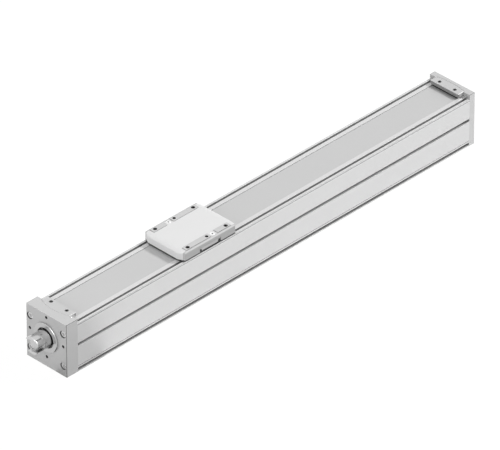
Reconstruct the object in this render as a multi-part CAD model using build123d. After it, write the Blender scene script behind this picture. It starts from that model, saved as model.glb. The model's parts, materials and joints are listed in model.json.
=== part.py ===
from build123d import *
import math
import os

# Ball screw linear axis. X runs along the travel, away from the drive end; Z runs up from the foot.
# The origin is the centre of the profile's underside. All lengths are in millimetres.

# Profile section
WIDTH = 80.0
PROFILE_HEIGHT = 81.5
PROFILE_LENGTH = 795.0
SIDE_WALL = 10.0
CHANNEL_WALL = 11.0
FLOOR = 7.0
SHOULDER = 13.0
CHANNEL_HALF = 19.0
LIP_THICKNESS = 6.5
EDGE_RADIUS = 0.8

# Slots for nuts in both sides and underneath, and the clamping grooves at the foot
SLOT_MOUTH = 5.2
SLOT_WIDTH = 8.5
SLOT_LIP = 1.8
SLOT_DEPTH = 6.8
SIDE_SLOT_HEIGHT = 45.7
FOOT_SLOT_INSET = 15.0
FOOT_GROOVE_BOTTOM = 2.2
FOOT_GROOVE_HEIGHT = 4.6
FOOT_GROOVE_DEPTH = 5.0
LOW_MARK_HEIGHT = 9.5
HIGH_MARK_DROP = 2.5
MARK_LINE_SIZE = 0.5

# Grooves along the top, the strip's seat and the magnets under it
RIM = 3.5
TOP_GROOVE_WIDTH = 4.0
TOP_GROOVE_DEPTH = 6.0
LIP_WIDTH = 6.9
STRIP_LEDGE = 6.6
STRIP_SEAT_DEPTH = 0.8
STRIP_THICKNESS = 0.3
STRIP_SIDE_GAP = 0.2
MAGNET_INSET = 1.5
MAGNET_WIDTH = 3.5
MAGNET_THICKNESS = 1.5

# End caps
CAP_RISE = 7.5
DRIVE_CAP_THICKNESS = 22.0
FAR_CAP_THICKNESS = 10.5
DRIVE_SPIGOT = 10.0
FAR_SPIGOT = 12.0
SPIGOT_GAP = 0.2
CAP_EDGE = 0.5
CAP_SCREW_INSET = 7.0
CAP_SCREW_LOW = 16.7
CAP_SCREW_DROP = 10.8
CAP_SCREW_DEPTH_IN_PROFILE = 16.0
CAP_HEAD_RECESS = 1.4
CAP_HEAD_GAP = 0.75
FLANGE_CIRCLE_INSET = 6.7
FLANGE_HOLE_RADIUS = 2.1
FLANGE_HOLE_DEPTH = 12.0
FLANGE_HOLE_CHAMFER = 0.4

# Socket head cap screws: shank radius, head radius, head height, hexagon across flats
M6_SCREW = (3.0, 5.0, 6.0, 5.0)
LOW_M5_SCREW = (2.5, 4.2, 3.0, 2.5)
M4_SCREW = (2.0, 3.5, 4.0, 3.0)
M3_SCREW = (1.5, 2.75, 2.4, 2.5)

# Clearances
FIT = 0.02
RUNNING = 0.06
FREE = 0.2
SOFT = 0.3

# Drive end: pilot ring, bearing, lock nut, hub and journal
PILOT_RADIUS = 23.5
PILOT_SEAT_RADIUS = 22.5
PILOT_PROUD = 3.0
PILOT_DEPTH = 6.0
PILOT_BORE = 16.0
LOCK_NUT_RADIUS = 13.0
LOCK_NUT_SLOTS = 4
DRIVE_BEARING = {"bore": 8.5, "outer": 17.5, "width": 14.0, "ball": 2.9, "count": 9}
FAR_BEARING = {"bore": 7.5, "outer": 16.0, "width": 9.0, "ball": 2.4, "count": 10}
CAGE_RIM = 0.8
CAGE_HALF_THICKNESS = 0.45
JOURNAL_RADIUS = 8.0
JOURNAL_REACH = 24.5
HUB_RADIUS = 13.8
HUB_BODY_REACH = 17.0
HUB_REACH = 29.5
HUB_SLOT = 19.0
HUB_SLOT_TURN = -13.6
HUB_CHAMFER = 0.8
CENTRE_HOLE_RADIUS = 2.2
BEARING_LIP = 3.0

# Ball screw and nut
SCREW_RADIUS = 10.0
SCREW_END_CHAMFER = 1.0
NUT_RADIUS = 16.0
NUT_BODY = 42.0
NUT_FLANGE_RADIUS = 24.0
NUT_OVER_RAIL = 4.0
NUT_FLANGE = 10.0
NUT_SCREW_CIRCLE = 20.0
NUT_SCREW_GRIP = 7.5
WIPER_RADIUS = 14.0
WIPER_WIDTH = 3.0

# Guide rail and runner blocks
RAIL_WIDTH = 15.0
RAIL_HEIGHT = 15.0
RAIL_WAIST = 0.9
RAIL_END_GAP = 4.0
RAIL_PITCH = 60.0
RAIL_SCREW_GRIP = 5.5
BLOCK_WIDTH = 34.0
BLOCK_LENGTH = 34.0
BLOCK_HEIGHT = 24.0
BLOCK_UNDER_GAP = 4.5
BLOCK_CAP = 5.0
BLOCK_SCREW_X = 10.0
BLOCK_SCREW_Y = 13.0
BLOCK_SCREW_GRIP = 6.5

# Carrier inside the profile
CARRIER_OVERHANG = 5.0
CARRIER_SIDE_GAP = 1.0
NECK_LENGTH = 44.0
NECK_GAP = 1.5
BRIDGE_THICKNESS = 3.5
EAR_LENGTH = 30.0
EAR_THICKNESS = 5.0
EAR_INSET = 3.5

# Slide plate
SLIDE_FROM_DRIVE_FACE = 284.0
SLIDE_LENGTH = 110.0
SLIDE_THICKNESS = 13.7
SLIDE_GAP = 1.5
SLIDE_CORNER_INSET = 10.6
SLIDE_CORNER_LENGTH = 5.0
SLIDE_CORNER_RADIUS = 1.2
SLIDE_END_RUN = 10.0
SLIDE_END_DROP = 3.2
SLIDE_EDGE_RADIUS = 3.0
PAD_HEIGHT = 0.9
PAD_TUNNEL_INSET = 0.2
PAD_EDGE = 3.2
PAD_END_INSET = 10.4
PAD_GAP = (5.5, 17.8)
TUNNEL_SIDE_GAP = 1.6
TUNNEL_DEPTH = 5.7
TUNNEL_END_WALL = 5.0
SLIDE_HOLE_END_INSET = 17.0
SLIDE_HOLE_SIDE_INSET = 7.5
SLIDE_HOLE_RADIUS = 2.55
SLIDE_HOLE_DEPTH = 11.0
SLIDE_HOLE_CHAMFER = 0.6
CENTRING_RADIUS = 2.5
CENTRING_DEPTH = 5.0
SLIDE_BOLT_X = 11.4
SLIDE_BOLT_INSET = 7.5
SLIDE_BOLT_GAP = 0.1
POCKET_HALF = 21.0
POCKET_RISE = 7.2
POCKET_DEPTH = 1.2
NIPPLE_X = 18.7
NIPPLE_RISE = 2.6
NIPPLE_RADIUS = 2.0
NIPPLE_SEAT = 1.9

# The strip's way through the slide
STRIP_OVER_NECK = 0.4
STRIP_PAST_NECK = 5.0
STRIP_GUIDE_LAND = 1.0
WIPER_BAR = 4.0
SEAL_WIDTH = 2.4
SEAL_DIP = 3.0
SEAL_GRIP = 2.0

# Strip clamps
CLAMP_OVERLAP = 2.3
CLAMP_NOSE = 7.0
CLAMP_NOSE_GAP = 1.7
DRIVE_CLAMP = {"recess": 7.7, "reach": 10.4, "shift": 1.9, "screw_x": 4.5, "screw_insets": (5.3, 1.5)}
FAR_CLAMP = {"recess": 5.0, "reach": 11.0, "shift": 0.9, "screw_x": 4.9, "screw_insets": (4.8, 3.0)}
CLAMP_HEEL_ROOM = 1.8
STRIP_END_GAP = 0.5
CLAMP_SCREW_GRIP = 6.0
PLUG_RADIUS = 1.9
DRIVE_PLUG_BESIDE_CLAMP = 2.8
FAR_PLUG_BESIDE_CLAMP = 1.8
FAR_PLUG_RADIUS = 1.3
PLUG_STEM = 2.5
PLUG_INSET = 2.6

# Buffers at both ends of the travel
BUFFER_RADIUS = 3.8
BUFFER_SEAT = 4.0
BUFFER_SIDE_INSET = 5.0
BUFFER_Z = 35.2
DRIVE_BUFFER_FREE = 13.5
FAR_BUFFER_FREE = 12.5

# Places that follow from the sizes above
AXIS_HEIGHT = FLOOR + RAIL_HEIGHT + NUT_FLANGE_RADIUS + NUT_OVER_RAIL
TOTAL = DRIVE_CAP_THICKNESS + PROFILE_LENGTH + FAR_CAP_THICKNESS
DRIVE_FACE = -TOTAL / 2
PROFILE_START = DRIVE_FACE + DRIVE_CAP_THICKNESS
PROFILE_END = PROFILE_START + PROFILE_LENGTH
FAR_FACE = PROFILE_END + FAR_CAP_THICKNESS
HALF = WIDTH / 2
CAVITY_HALF = HALF - SIDE_WALL
CHANNEL_SIDE = HALF - CHANNEL_WALL
LIP_UNDERSIDE = PROFILE_HEIGHT - LIP_THICKNESS
LIP_EDGE = HALF - RIM - TOP_GROOVE_WIDTH
STRIP_SEAT_HALF = LIP_EDGE - LIP_WIDTH
NECK_SLOT_HALF = STRIP_SEAT_HALF - STRIP_LEDGE
MAGNET_INNER = NECK_SLOT_HALF + MAGNET_INSET
FOOT_SLOT_OFFSET = HALF - FOOT_SLOT_INSET
MARK_LINE_HEIGHTS = (LOW_MARK_HEIGHT, PROFILE_HEIGHT - HIGH_MARK_DROP)
CAP_HEIGHT = PROFILE_HEIGHT + CAP_RISE
CAP_SCREW_OFFSET = HALF - CAP_SCREW_INSET
CAP_SCREW_HEIGHTS = (CAP_SCREW_LOW, PROFILE_HEIGHT - CAP_SCREW_DROP)
FLANGE_CIRCLE = HALF - FLANGE_CIRCLE_INSET
STRIP_SEAT = PROFILE_HEIGHT - STRIP_SEAT_DEPTH
STRIP_HALF = STRIP_SEAT_HALF - STRIP_SIDE_GAP
STRIP_TOP = STRIP_SEAT + STRIP_THICKNESS
RAIL_TOP = FLOOR + RAIL_HEIGHT
BLOCK_TOP = FLOOR + BLOCK_HEIGHT
BLOCK_FULL = BLOCK_LENGTH + 2 * BLOCK_CAP
SLIDE_CENTRE = DRIVE_FACE + SLIDE_FROM_DRIVE_FACE
SLIDE_BOTTOM = PROFILE_HEIGHT + SLIDE_GAP
SLIDE_TOP = SLIDE_BOTTOM + SLIDE_THICKNESS
SLIDE_CORNER_START = HALF - SLIDE_CORNER_INSET
SLIDE_HOLES_X = SLIDE_LENGTH - 2 * SLIDE_HOLE_END_INSET
SLIDE_HOLES_Y = WIDTH - 2 * SLIDE_HOLE_SIDE_INSET
SLIDE_BOLT_Y = HALF - SLIDE_BOLT_INSET
TUNNEL_HALF = STRIP_SEAT_HALF + TUNNEL_SIDE_GAP
TUNNEL_TOP = SLIDE_BOTTOM + TUNNEL_DEPTH
TUNNEL_END = SLIDE_LENGTH / 2 - TUNNEL_END_WALL
PAD_INNER = TUNNEL_HALF + PAD_TUNNEL_INSET
PAD_OUTER = HALF - PAD_EDGE
PAD_END = SLIDE_LENGTH / 2 - PAD_END_INSET
POCKET_TOP = SLIDE_BOTTOM + POCKET_RISE
NIPPLE_HEIGHT = SLIDE_BOTTOM + NIPPLE_RISE
STRIP_ARCH_HALF = NECK_LENGTH / 2 + STRIP_PAST_NECK
STRIP_LIFT_START = TUNNEL_END - STRIP_GUIDE_LAND
BRIDGE_TOP = SLIDE_BOTTOM + BRIDGE_THICKNESS
EAR_TOP = SLIDE_BOTTOM + EAR_THICKNESS
ARCH_HEIGHT = BRIDGE_TOP + STRIP_OVER_NECK
PILOT_BACK = DRIVE_FACE + PILOT_DEPTH
DRIVE_SPIGOT_END = PROFILE_START + DRIVE_SPIGOT
FAR_SPIGOT_END = PROFILE_END - FAR_SPIGOT
DRIVE_BEARING_END = PILOT_BACK + DRIVE_BEARING["width"]
FAR_BEARING_START = FAR_SPIGOT_END + 1.0
FAR_BEARING_END = FAR_BEARING_START + FAR_BEARING["width"]
RETAINING_RING = 1.0
CARRIER_HALF = SLIDE_LENGTH / 2 + CARRIER_OVERHANG
CARRIER_WIDTH = 2 * (CHANNEL_SIDE - CARRIER_SIDE_GAP)
CARRIER_TOP = AXIS_HEIGHT + NUT_RADIUS
NECK_WIDTH = 2 * (NECK_SLOT_HALF - NECK_GAP)
EAR_EDGE = HALF - EAR_INSET
BLOCK_OFFSET = CARRIER_HALF - BLOCK_FULL / 2
CLAMP_HALF = STRIP_SEAT_HALF + CLAMP_OVERLAP
CLAMP_NOSE_UNDERSIDE = PROFILE_HEIGHT + CLAMP_NOSE_GAP
BUFFER_Y = CHANNEL_SIDE - BUFFER_SIDE_INSET


def box(x0, x1, y0, y1, z0, z1):
    """A block between two corners."""
    middle = ((x0 + x1) / 2, (y0 + y1) / 2, (z0 + z1) / 2)
    return Pos(*middle) * Box(x1 - x0, y1 - y0, z1 - z0)


def rod(radius, x0, x1, y=0.0, z=AXIS_HEIGHT):
    """A cylinder along X."""
    return Pos((x0 + x1) / 2, y, z) * Rot(0, 90, 0) * Cylinder(radius, x1 - x0)


def tube(outer, inner, x0, x1, y=0.0, z=AXIS_HEIGHT):
    """A ring along X."""
    return rod(outer, x0, x1, y, z) - rod(inner, x0 - 1, x1 + 1, y, z)


def post(radius, x, y, z0, z1):
    """A cylinder along Z."""
    return Pos(x, y, (z0 + z1) / 2) * Cylinder(radius, z1 - z0)


def spindle_of(steps):
    """A turned part on the screw's axis, from (x, radius) pairs along its outline."""
    outline = [(steps[0][0], 0)] + list(steps) + [(steps[-1][0], 0)]
    face = make_face(Polyline(*outline, close=True))
    turned = revolve(Plane.XZ * face, Axis.X, 360)
    return Pos(0, 0, AXIS_HEIGHT) * turned


def mirrored_section(right_half):
    """A closed section in Y and Z from its right half, listed from the bottom to the top."""
    left_half = [(-y, z) for y, z in reversed(right_half)]
    return make_face(Polyline(*right_half, *left_half, close=True))


def along_x(section, x0, x1):
    """A section in Y and Z drawn out between two places on X."""
    return extrude(Plane.YZ.offset(x0) * section, amount=x1 - x0)


def socket_screw(size, grip):
    """A socket head cap screw that points down, with the underside of its head at the origin."""
    shank, head, height, flats = size
    body = Pos(0, 0, height / 2) * Cylinder(head, height)
    body = chamfer(body.edges().group_by(Axis.Z)[-1], 0.4)
    body += Pos(0, 0, -grip / 2) * Cylinder(shank, grip)
    socket = Pos(0, 0, height - height * 0.55) * extrude(RegularPolygon(flats / math.sqrt(3), 6), height)
    return body - socket


def group(pieces):
    """One node made of separate solids."""
    solids = [solid for piece in pieces for solid in piece.solids()]
    return Compound(children=solids)


def slot_outline(centre, surface, direction):
    """A nut slot's outline through a level surface at Z, as points from one edge to the other."""
    mouth, width = SLOT_MOUTH / 2, SLOT_WIDTH / 2
    steps = [(-mouth, 0), (-mouth, SLOT_LIP), (-width, SLOT_LIP), (-width, SLOT_DEPTH)]
    steps += [(-across, down) for across, down in reversed(steps)]
    return [(centre + across, surface + direction * down) for across, down in steps]


def profile():
    """The extrusion: foot slots, clamping grooves, side slots, marking lines, top grooves, channel."""
    side_slot = [(HALF - (z - 0), y) for y, z in slot_outline(SIDE_SLOT_HEIGHT, 0, 1)]
    groove_top = FOOT_GROOVE_BOTTOM + FOOT_GROOVE_HEIGHT
    marks = [
        [(HALF, z - MARK_LINE_SIZE), (HALF - MARK_LINE_SIZE, z), (HALF, z + MARK_LINE_SIZE)]
        for z in MARK_LINE_HEIGHTS
    ]
    magnet_floor = STRIP_SEAT - MAGNET_THICKNESS
    magnet_outer = MAGNET_INNER + MAGNET_WIDTH
    points = slot_outline(FOOT_SLOT_OFFSET, 0, 1)
    points += [(HALF, 0), (HALF, FOOT_GROOVE_BOTTOM), (HALF - FOOT_GROOVE_DEPTH, FOOT_GROOVE_BOTTOM)]
    points += [(HALF - FOOT_GROOVE_DEPTH, groove_top), (HALF, groove_top)]
    points += marks[0] + side_slot + marks[1]
    points += [(HALF, PROFILE_HEIGHT), (HALF - RIM, PROFILE_HEIGHT)]
    points += [(HALF - RIM, PROFILE_HEIGHT - TOP_GROOVE_DEPTH), (LIP_EDGE, PROFILE_HEIGHT - TOP_GROOVE_DEPTH)]
    points += [(LIP_EDGE, PROFILE_HEIGHT), (STRIP_SEAT_HALF, PROFILE_HEIGHT), (STRIP_SEAT_HALF, STRIP_SEAT)]
    points += [(magnet_outer, STRIP_SEAT), (magnet_outer, magnet_floor)]
    points += [(MAGNET_INNER, magnet_floor), (MAGNET_INNER, STRIP_SEAT), (NECK_SLOT_HALF, STRIP_SEAT)]
    points += [(NECK_SLOT_HALF, LIP_UNDERSIDE), (CHANNEL_SIDE - 3, LIP_UNDERSIDE)]
    points += [(CHANNEL_SIDE, LIP_UNDERSIDE - 3), (CHANNEL_SIDE, LIP_UNDERSIDE - 12)]
    points += [(CAVITY_HALF, LIP_UNDERSIDE - 13), (CAVITY_HALF, SHOULDER + 11), (CHANNEL_SIDE, SHOULDER + 10)]
    points += [(CHANNEL_SIDE, SHOULDER), (CHANNEL_HALF, SHOULDER), (CHANNEL_HALF, FLOOR)]
    body = along_x(mirrored_section(points), PROFILE_START, PROFILE_END)
    foot_edges = body.edges().filter_by(Axis.X).filter_by(
        lambda e: abs(abs(e.center().Y) - HALF) < 1e-3 and e.center().Z < 1e-3
    )
    rim_edges = body.edges().filter_by(Axis.X).filter_by(
        lambda e: abs(abs(e.center().Y) - HALF) < 1e-3 and e.center().Z > PROFILE_HEIGHT - 1e-3
    )
    body = fillet(foot_edges + rim_edges, EDGE_RADIUS)
    for x in rail_screw_places():
        body -= post(M4_SCREW[0] + FIT, x, 0, FLOOR - RAIL_SCREW_GRIP - 0.3, FLOOR + 1)
    depth = CAP_SCREW_DEPTH_IN_PROFILE + 1
    for y, z in cap_screw_places():
        body -= rod(M6_SCREW[0] + FIT, PROFILE_START - 1, PROFILE_START + depth, y, z)
        body -= rod(M6_SCREW[0] + FIT, PROFILE_END - depth, PROFILE_END + 1, y, z)
    return body - plug_hole(plugs()[1])


def cap_screw_places():
    """The four cap screws' places in Y and Z."""
    return [(side * CAP_SCREW_OFFSET, z) for side in (-1, 1) for z in CAP_SCREW_HEIGHTS]


def rail_ends():
    """Where the guide rail starts and ends, clear of both caps' spigots."""
    return DRIVE_SPIGOT_END + RAIL_END_GAP, FAR_SPIGOT_END - RAIL_END_GAP


def rail_screw_places():
    """The rail screws' places on X, evenly spaced about the rail's middle."""
    start, end = rail_ends()
    count = int((end - start) // RAIL_PITCH) + 1
    first = (start + end) / 2 - (count - 1) * RAIL_PITCH / 2
    return [first + RAIL_PITCH * index for index in range(count)]


def rail_section(growth=0.0):
    """The rail's waisted section, or the same section grown by a clearance."""
    half = RAIL_WIDTH / 2 + growth
    waist = half - RAIL_WAIST
    top = RAIL_TOP + growth
    base = FLOOR - (1.0 if growth else 0.0)
    points = [(half, base), (half, FLOOR + 5.5), (waist, FLOOR + 6.8), (waist, FLOOR + 9.2)]
    points += [(half, FLOOR + 10.5), (half, top - 0.8), (half - 0.8, top)]
    return mirrored_section(points)


def guide_rail():
    """The ball rail with its counterbored screw holes."""
    start, end = rail_ends()
    body = along_x(rail_section(), start, end)
    shank, head, height, _ = M4_SCREW
    for x in rail_screw_places():
        body -= post(shank + FREE, x, 0, FLOOR - 1, RAIL_TOP)
        body -= post(head + FREE, x, 0, RAIL_TOP - height - 0.5, RAIL_TOP + 1)
    return body


def rail_screws():
    """The rail's screws, seated in its counterbores."""
    seat = RAIL_TOP - M4_SCREW[2] - 0.5
    screw = socket_screw(M4_SCREW, seat - FLOOR + RAIL_SCREW_GRIP)
    return group([Pos(x, 0, seat) * screw for x in rail_screw_places()])


def spigot(x0, x1):
    """The part of a cap that fits inside the profile and carries the strip's end."""
    half = CHANNEL_SIDE - SPIGOT_GAP
    tongue = NECK_SLOT_HALF - SPIGOT_GAP
    lip = LIP_UNDERSIDE - SPIGOT_GAP
    points = [(half, SHOULDER + SPIGOT_GAP), (half, lip - 3), (half - 3, lip), (tongue, lip)]
    points += [(tongue, STRIP_SEAT)]
    return along_x(mirrored_section(points), x0, x1)


def cap_blank(x0, x1, outer_side):
    """A cap's block with its outer edges rounded."""
    body = box(x0, x1, -HALF, HALF, 0, CAP_HEIGHT)
    upright = body.edges().filter_by(Axis.Z).group_by(Axis.X)[outer_side]
    across = body.edges().filter_by(Axis.Y).group_by(Axis.X)[outer_side]
    long = body.edges().filter_by(Axis.X)
    return fillet(upright + across + long, CAP_EDGE)


def buffer_holes(x0, x1):
    """The seats of the two buffers in a cap's spigot."""
    return [rod(BUFFER_RADIUS + FIT, x0, x1, side * BUFFER_Y, BUFFER_Z) for side in (-1, 1)]


def clamp_screw_places(inner_face, inward, clamp):
    """The clamp screws' places in X and Y beside one cap, set in from the neck slot's two edges."""
    x = inner_face + inward * clamp["screw_x"]
    front, back = clamp["screw_insets"]
    return [(x, front - NECK_SLOT_HALF), (x, NECK_SLOT_HALF - back)]


def all_clamp_screw_places():
    """The places of the screws of both clamps."""
    drive = clamp_screw_places(PROFILE_START, 1, DRIVE_CLAMP)
    return drive + clamp_screw_places(PROFILE_END, -1, FAR_CLAMP)


def heel_depth(clamp):
    """How far a clamp's bowed heel reaches into its cap beside the strip's edge."""
    along = (STRIP_HALF + clamp["shift"]) / CLAMP_HALF
    return clamp["recess"] - (clamp["recess"] - CLAMP_HEEL_ROOM) * along ** 2


def clamp_blank(inner_face, inward, clamp, reach, gap):
    """A clamp's outline from above, bowed into the cap, drawn up from the strip's seat."""
    low, high = clamp["shift"] - CLAMP_HALF - gap, clamp["shift"] + CLAMP_HALF + gap
    corner = inner_face - inward * (CLAMP_HEEL_ROOM + gap)
    middle = inner_face - inward * (clamp["recess"] + gap)
    front = inner_face + inward * reach
    edges = [
        ThreePointArc((corner, low), (middle, clamp["shift"]), (corner, high)),
        Line((corner, high), (front, high)),
        Line((front, high), (front, low)),
        Line((front, low), (corner, low)),
    ]
    return extrude(Pos(0, 0, STRIP_SEAT) * make_face(edges), CAP_HEIGHT + gap - STRIP_SEAT)


def drive_cap():
    """The drive cap: bearing seat, pilot ring's seat, flange holes, screw recesses, clamp recess."""
    body = cap_blank(DRIVE_FACE, PROFILE_START, 0) + spigot(PROFILE_START - 1, DRIVE_SPIGOT_END)
    bearing = DRIVE_BEARING["outer"]
    body -= rod(PILOT_SEAT_RADIUS + FIT, DRIVE_FACE - 1, PILOT_BACK)
    body -= rod(bearing + FIT, DRIVE_FACE, DRIVE_BEARING_END)
    body -= rod(bearing - BEARING_LIP, DRIVE_BEARING_END - 1, DRIVE_SPIGOT_END + 1)
    shank, head, height, _ = M6_SCREW
    recess = height + CAP_HEAD_RECESS
    for y, z in cap_screw_places():
        body -= rod(shank + FREE, DRIVE_FACE, PROFILE_START + 1, y, z)
        body -= rod(head + CAP_HEAD_GAP, DRIVE_FACE - 1, DRIVE_FACE + recess, y, z)
    for angle in range(0, 360, 90):
        y = FLANGE_CIRCLE * math.cos(math.radians(angle))
        z = AXIS_HEIGHT + FLANGE_CIRCLE * math.sin(math.radians(angle))
        body -= rod(FLANGE_HOLE_RADIUS, DRIVE_FACE - 1, DRIVE_FACE + FLANGE_HOLE_DEPTH, y, z)
        rim = Cone(FLANGE_HOLE_RADIUS, FLANGE_HOLE_RADIUS + FLANGE_HOLE_CHAMFER, FLANGE_HOLE_CHAMFER)
        body -= Pos(DRIVE_FACE + FLANGE_HOLE_CHAMFER / 2, y, z) * Rot(0, -90, 0) * rim
    body -= clamp_blank(PROFILE_START, 1, DRIVE_CLAMP, 1, FREE)
    for x, y in clamp_screw_places(PROFILE_START, 1, DRIVE_CLAMP):
        body -= post(M3_SCREW[0] + FIT, x, y, STRIP_SEAT - CLAMP_SCREW_GRIP - 0.5, STRIP_SEAT + 1)
    for hole in buffer_holes(DRIVE_SPIGOT_END - BUFFER_SEAT, DRIVE_SPIGOT_END + 1):
        body -= hole
    return body - plug_hole(plugs()[0])


def far_cap():
    """The far cap: blind bearing seat, screw recesses and clamp recess."""
    body = cap_blank(PROFILE_END, FAR_FACE, -1) + spigot(FAR_SPIGOT_END, PROFILE_END + 1)
    bearing = FAR_BEARING["outer"]
    body -= rod(bearing + FIT, FAR_SPIGOT_END - 1, FAR_BEARING_END)
    body -= rod(bearing - BEARING_LIP, FAR_BEARING_END - 1, FAR_BEARING_END + 4)
    shank, head, height, _ = M6_SCREW
    recess = height + CAP_HEAD_RECESS
    for y, z in cap_screw_places():
        body -= rod(shank + FREE, PROFILE_END - 1, FAR_FACE, y, z)
        body -= rod(head + CAP_HEAD_GAP, FAR_FACE - recess, FAR_FACE + 1, y, z)
    body -= clamp_blank(PROFILE_END, -1, FAR_CLAMP, 1, FREE)
    for x, y in clamp_screw_places(PROFILE_END, -1, FAR_CLAMP):
        body -= post(M3_SCREW[0] + FIT, x, y, STRIP_SEAT - CLAMP_SCREW_GRIP - 0.5, STRIP_SEAT + 1)
    for hole in buffer_holes(FAR_SPIGOT_END - 1, FAR_SPIGOT_END + BUFFER_SEAT):
        body -= hole
    return body


def cap_screws(face, outward, thickness):
    """The four screws of one cap, heads outwards, reaching into the profile."""
    seat = face - outward * (M6_SCREW[2] + CAP_HEAD_RECESS)
    grip = thickness - M6_SCREW[2] - CAP_HEAD_RECESS + CAP_SCREW_DEPTH_IN_PROFILE
    screw = Rot(0, outward * 90, 0) * socket_screw(M6_SCREW, grip)
    return group([Pos(seat, y, z) * screw for y, z in cap_screw_places()])


def pilot_ring():
    """The ring that centres a motor housing and holds the bearing in its seat."""
    front = DRIVE_FACE - PILOT_PROUD
    body = rod(PILOT_RADIUS, front, DRIVE_FACE) + rod(PILOT_SEAT_RADIUS, DRIVE_FACE - 1, PILOT_BACK)
    body -= rod(PILOT_BORE, front - 1, PILOT_BACK + 1)
    rims = body.edges().filter_by(GeomType.CIRCLE).group_by(Axis.X)[0]
    return chamfer(rims, 0.6)


def buffers(spigot_end, inward, free):
    """Two rubber buffers, seated in a spigot and standing free where the carrier ends its travel."""
    ends = sorted((spigot_end - inward * BUFFER_SEAT, spigot_end + inward * free))
    return group([rod(BUFFER_RADIUS, *ends, side * BUFFER_Y, BUFFER_Z) for side in (-1, 1)])


def race_pitch(bearing):
    """The radius that a bearing's balls run on."""
    return (bearing["outer"] + bearing["bore"]) / 2


def race_groove(bearing, middle):
    """The torus that the balls sweep, with running clearance."""
    ring = Torus(race_pitch(bearing), bearing["ball"] + RUNNING)
    return Pos(middle, 0, AXIS_HEIGHT) * Rot(0, 90, 0) * ring


def outer_ring(bearing, start):
    """A bearing's outer ring with its ball groove."""
    end = start + bearing["width"]
    inner = race_pitch(bearing) + bearing["ball"] * 0.6
    return tube(bearing["outer"], inner, start, end) - race_groove(bearing, (start + end) / 2)


def inner_ring(bearing, start):
    """A bearing's inner ring with its ball groove."""
    end = start + bearing["width"]
    outer = race_pitch(bearing) - bearing["ball"] * 0.6
    return tube(outer, bearing["bore"] + FIT, start, end) - race_groove(bearing, (start + end) / 2)


def ball_places(bearing, start):
    """The centres of a bearing's balls."""
    middle = start + bearing["width"] / 2
    for index in range(bearing["count"]):
        angle = 2 * math.pi * index / bearing["count"]
        y = race_pitch(bearing) * math.cos(angle)
        z = AXIS_HEIGHT + race_pitch(bearing) * math.sin(angle)
        yield middle, y, z


def bearing_balls(bearing, start):
    """A bearing's balls."""
    return group([Pos(*place) * Sphere(bearing["ball"]) for place in ball_places(bearing, start)])


def bearing_cage(bearing, start):
    """The cage that spaces a bearing's balls."""
    middle = start + bearing["width"] / 2
    reach = bearing["ball"] + CAGE_RIM
    thick = CAGE_HALF_THICKNESS
    pitch = race_pitch(bearing)
    body = tube(pitch + thick, pitch - thick, middle - reach, middle + reach)
    for place in ball_places(bearing, start):
        body -= Pos(*place) * Sphere(bearing["ball"] + RUNNING)
    return body


def ball_screw():
    """The screw, turned down to a journal at each end, with a centre hole in the drive end."""
    tip = DRIVE_FACE - JOURNAL_REACH
    bearing_radius = DRIVE_BEARING["bore"]
    far_radius = FAR_BEARING["bore"]
    groove = FAR_BEARING_END + RETAINING_RING
    steps = [(tip, JOURNAL_RADIUS - SCREW_END_CHAMFER), (tip + SCREW_END_CHAMFER, JOURNAL_RADIUS)]
    steps += [(DRIVE_FACE, JOURNAL_RADIUS), (DRIVE_FACE, bearing_radius), (DRIVE_BEARING_END, bearing_radius)]
    steps += [(DRIVE_BEARING_END, SCREW_RADIUS), (FAR_BEARING_START, SCREW_RADIUS)]
    steps += [(FAR_BEARING_START, far_radius), (FAR_BEARING_END, far_radius)]
    steps += [(FAR_BEARING_END, far_radius - 0.6), (groove, far_radius - 0.6), (groove, far_radius)]
    steps += [(groove + 1.2, far_radius)]
    body = spindle_of(steps)
    hole = Pos(tip + 1.5, 0, AXIS_HEIGHT) * Rot(0, -90, 0) * Cone(0.4, CENTRE_HOLE_RADIUS, 3.02)
    return body - hole


def lock_nut():
    """The slotted nut that clamps the bearing's inner ring."""
    body = tube(LOCK_NUT_RADIUS, DRIVE_BEARING["bore"] + FIT, DRIVE_FACE + 0.2, PILOT_BACK)
    for index in range(LOCK_NUT_SLOTS):
        notch = box(DRIVE_FACE, PILOT_BACK + 1, -2, 2, LOCK_NUT_RADIUS - 1.8, LOCK_NUT_RADIUS + 1)
        turn = 360 / LOCK_NUT_SLOTS * (index + 0.5)
        body -= Pos(0, 0, AXIS_HEIGHT) * Rot(turn, 0, 0) * notch
    return body


def drive_hub():
    """The hub on the journal, with a wide slot across its front that leaves two jaws."""
    front = DRIVE_FACE - HUB_REACH
    floor = DRIVE_FACE - HUB_BODY_REACH
    body = tube(HUB_RADIUS, JOURNAL_RADIUS + FIT, front, DRIVE_FACE)
    body = chamfer(body.edges().filter_by(GeomType.CIRCLE).sort_by(SortBy.RADIUS)[-2:], HUB_CHAMFER)
    slot = box(front - 1, floor, -HUB_RADIUS - 1, HUB_RADIUS + 1, -HUB_SLOT / 2, HUB_SLOT / 2)
    body -= Pos(0, 0, AXIS_HEIGHT) * Rot(HUB_SLOT_TURN, 0, 0) * slot
    return body - hub_screw_hole()


def hub_screw_place():
    """The middle of the hub's set screw on X."""
    return DRIVE_FACE - HUB_BODY_REACH / 2 - 2


def hub_screw_hole():
    """The threaded hole of the hub's set screw, square to the slot."""
    hole = Pos(0, 0, HUB_RADIUS) * Cylinder(M4_SCREW[0] + FIT, 2 * (HUB_RADIUS - JOURNAL_RADIUS) + 1)
    return Pos(hub_screw_place(), 0, AXIS_HEIGHT) * Rot(HUB_SLOT_TURN, 0, 0) * hole


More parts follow.
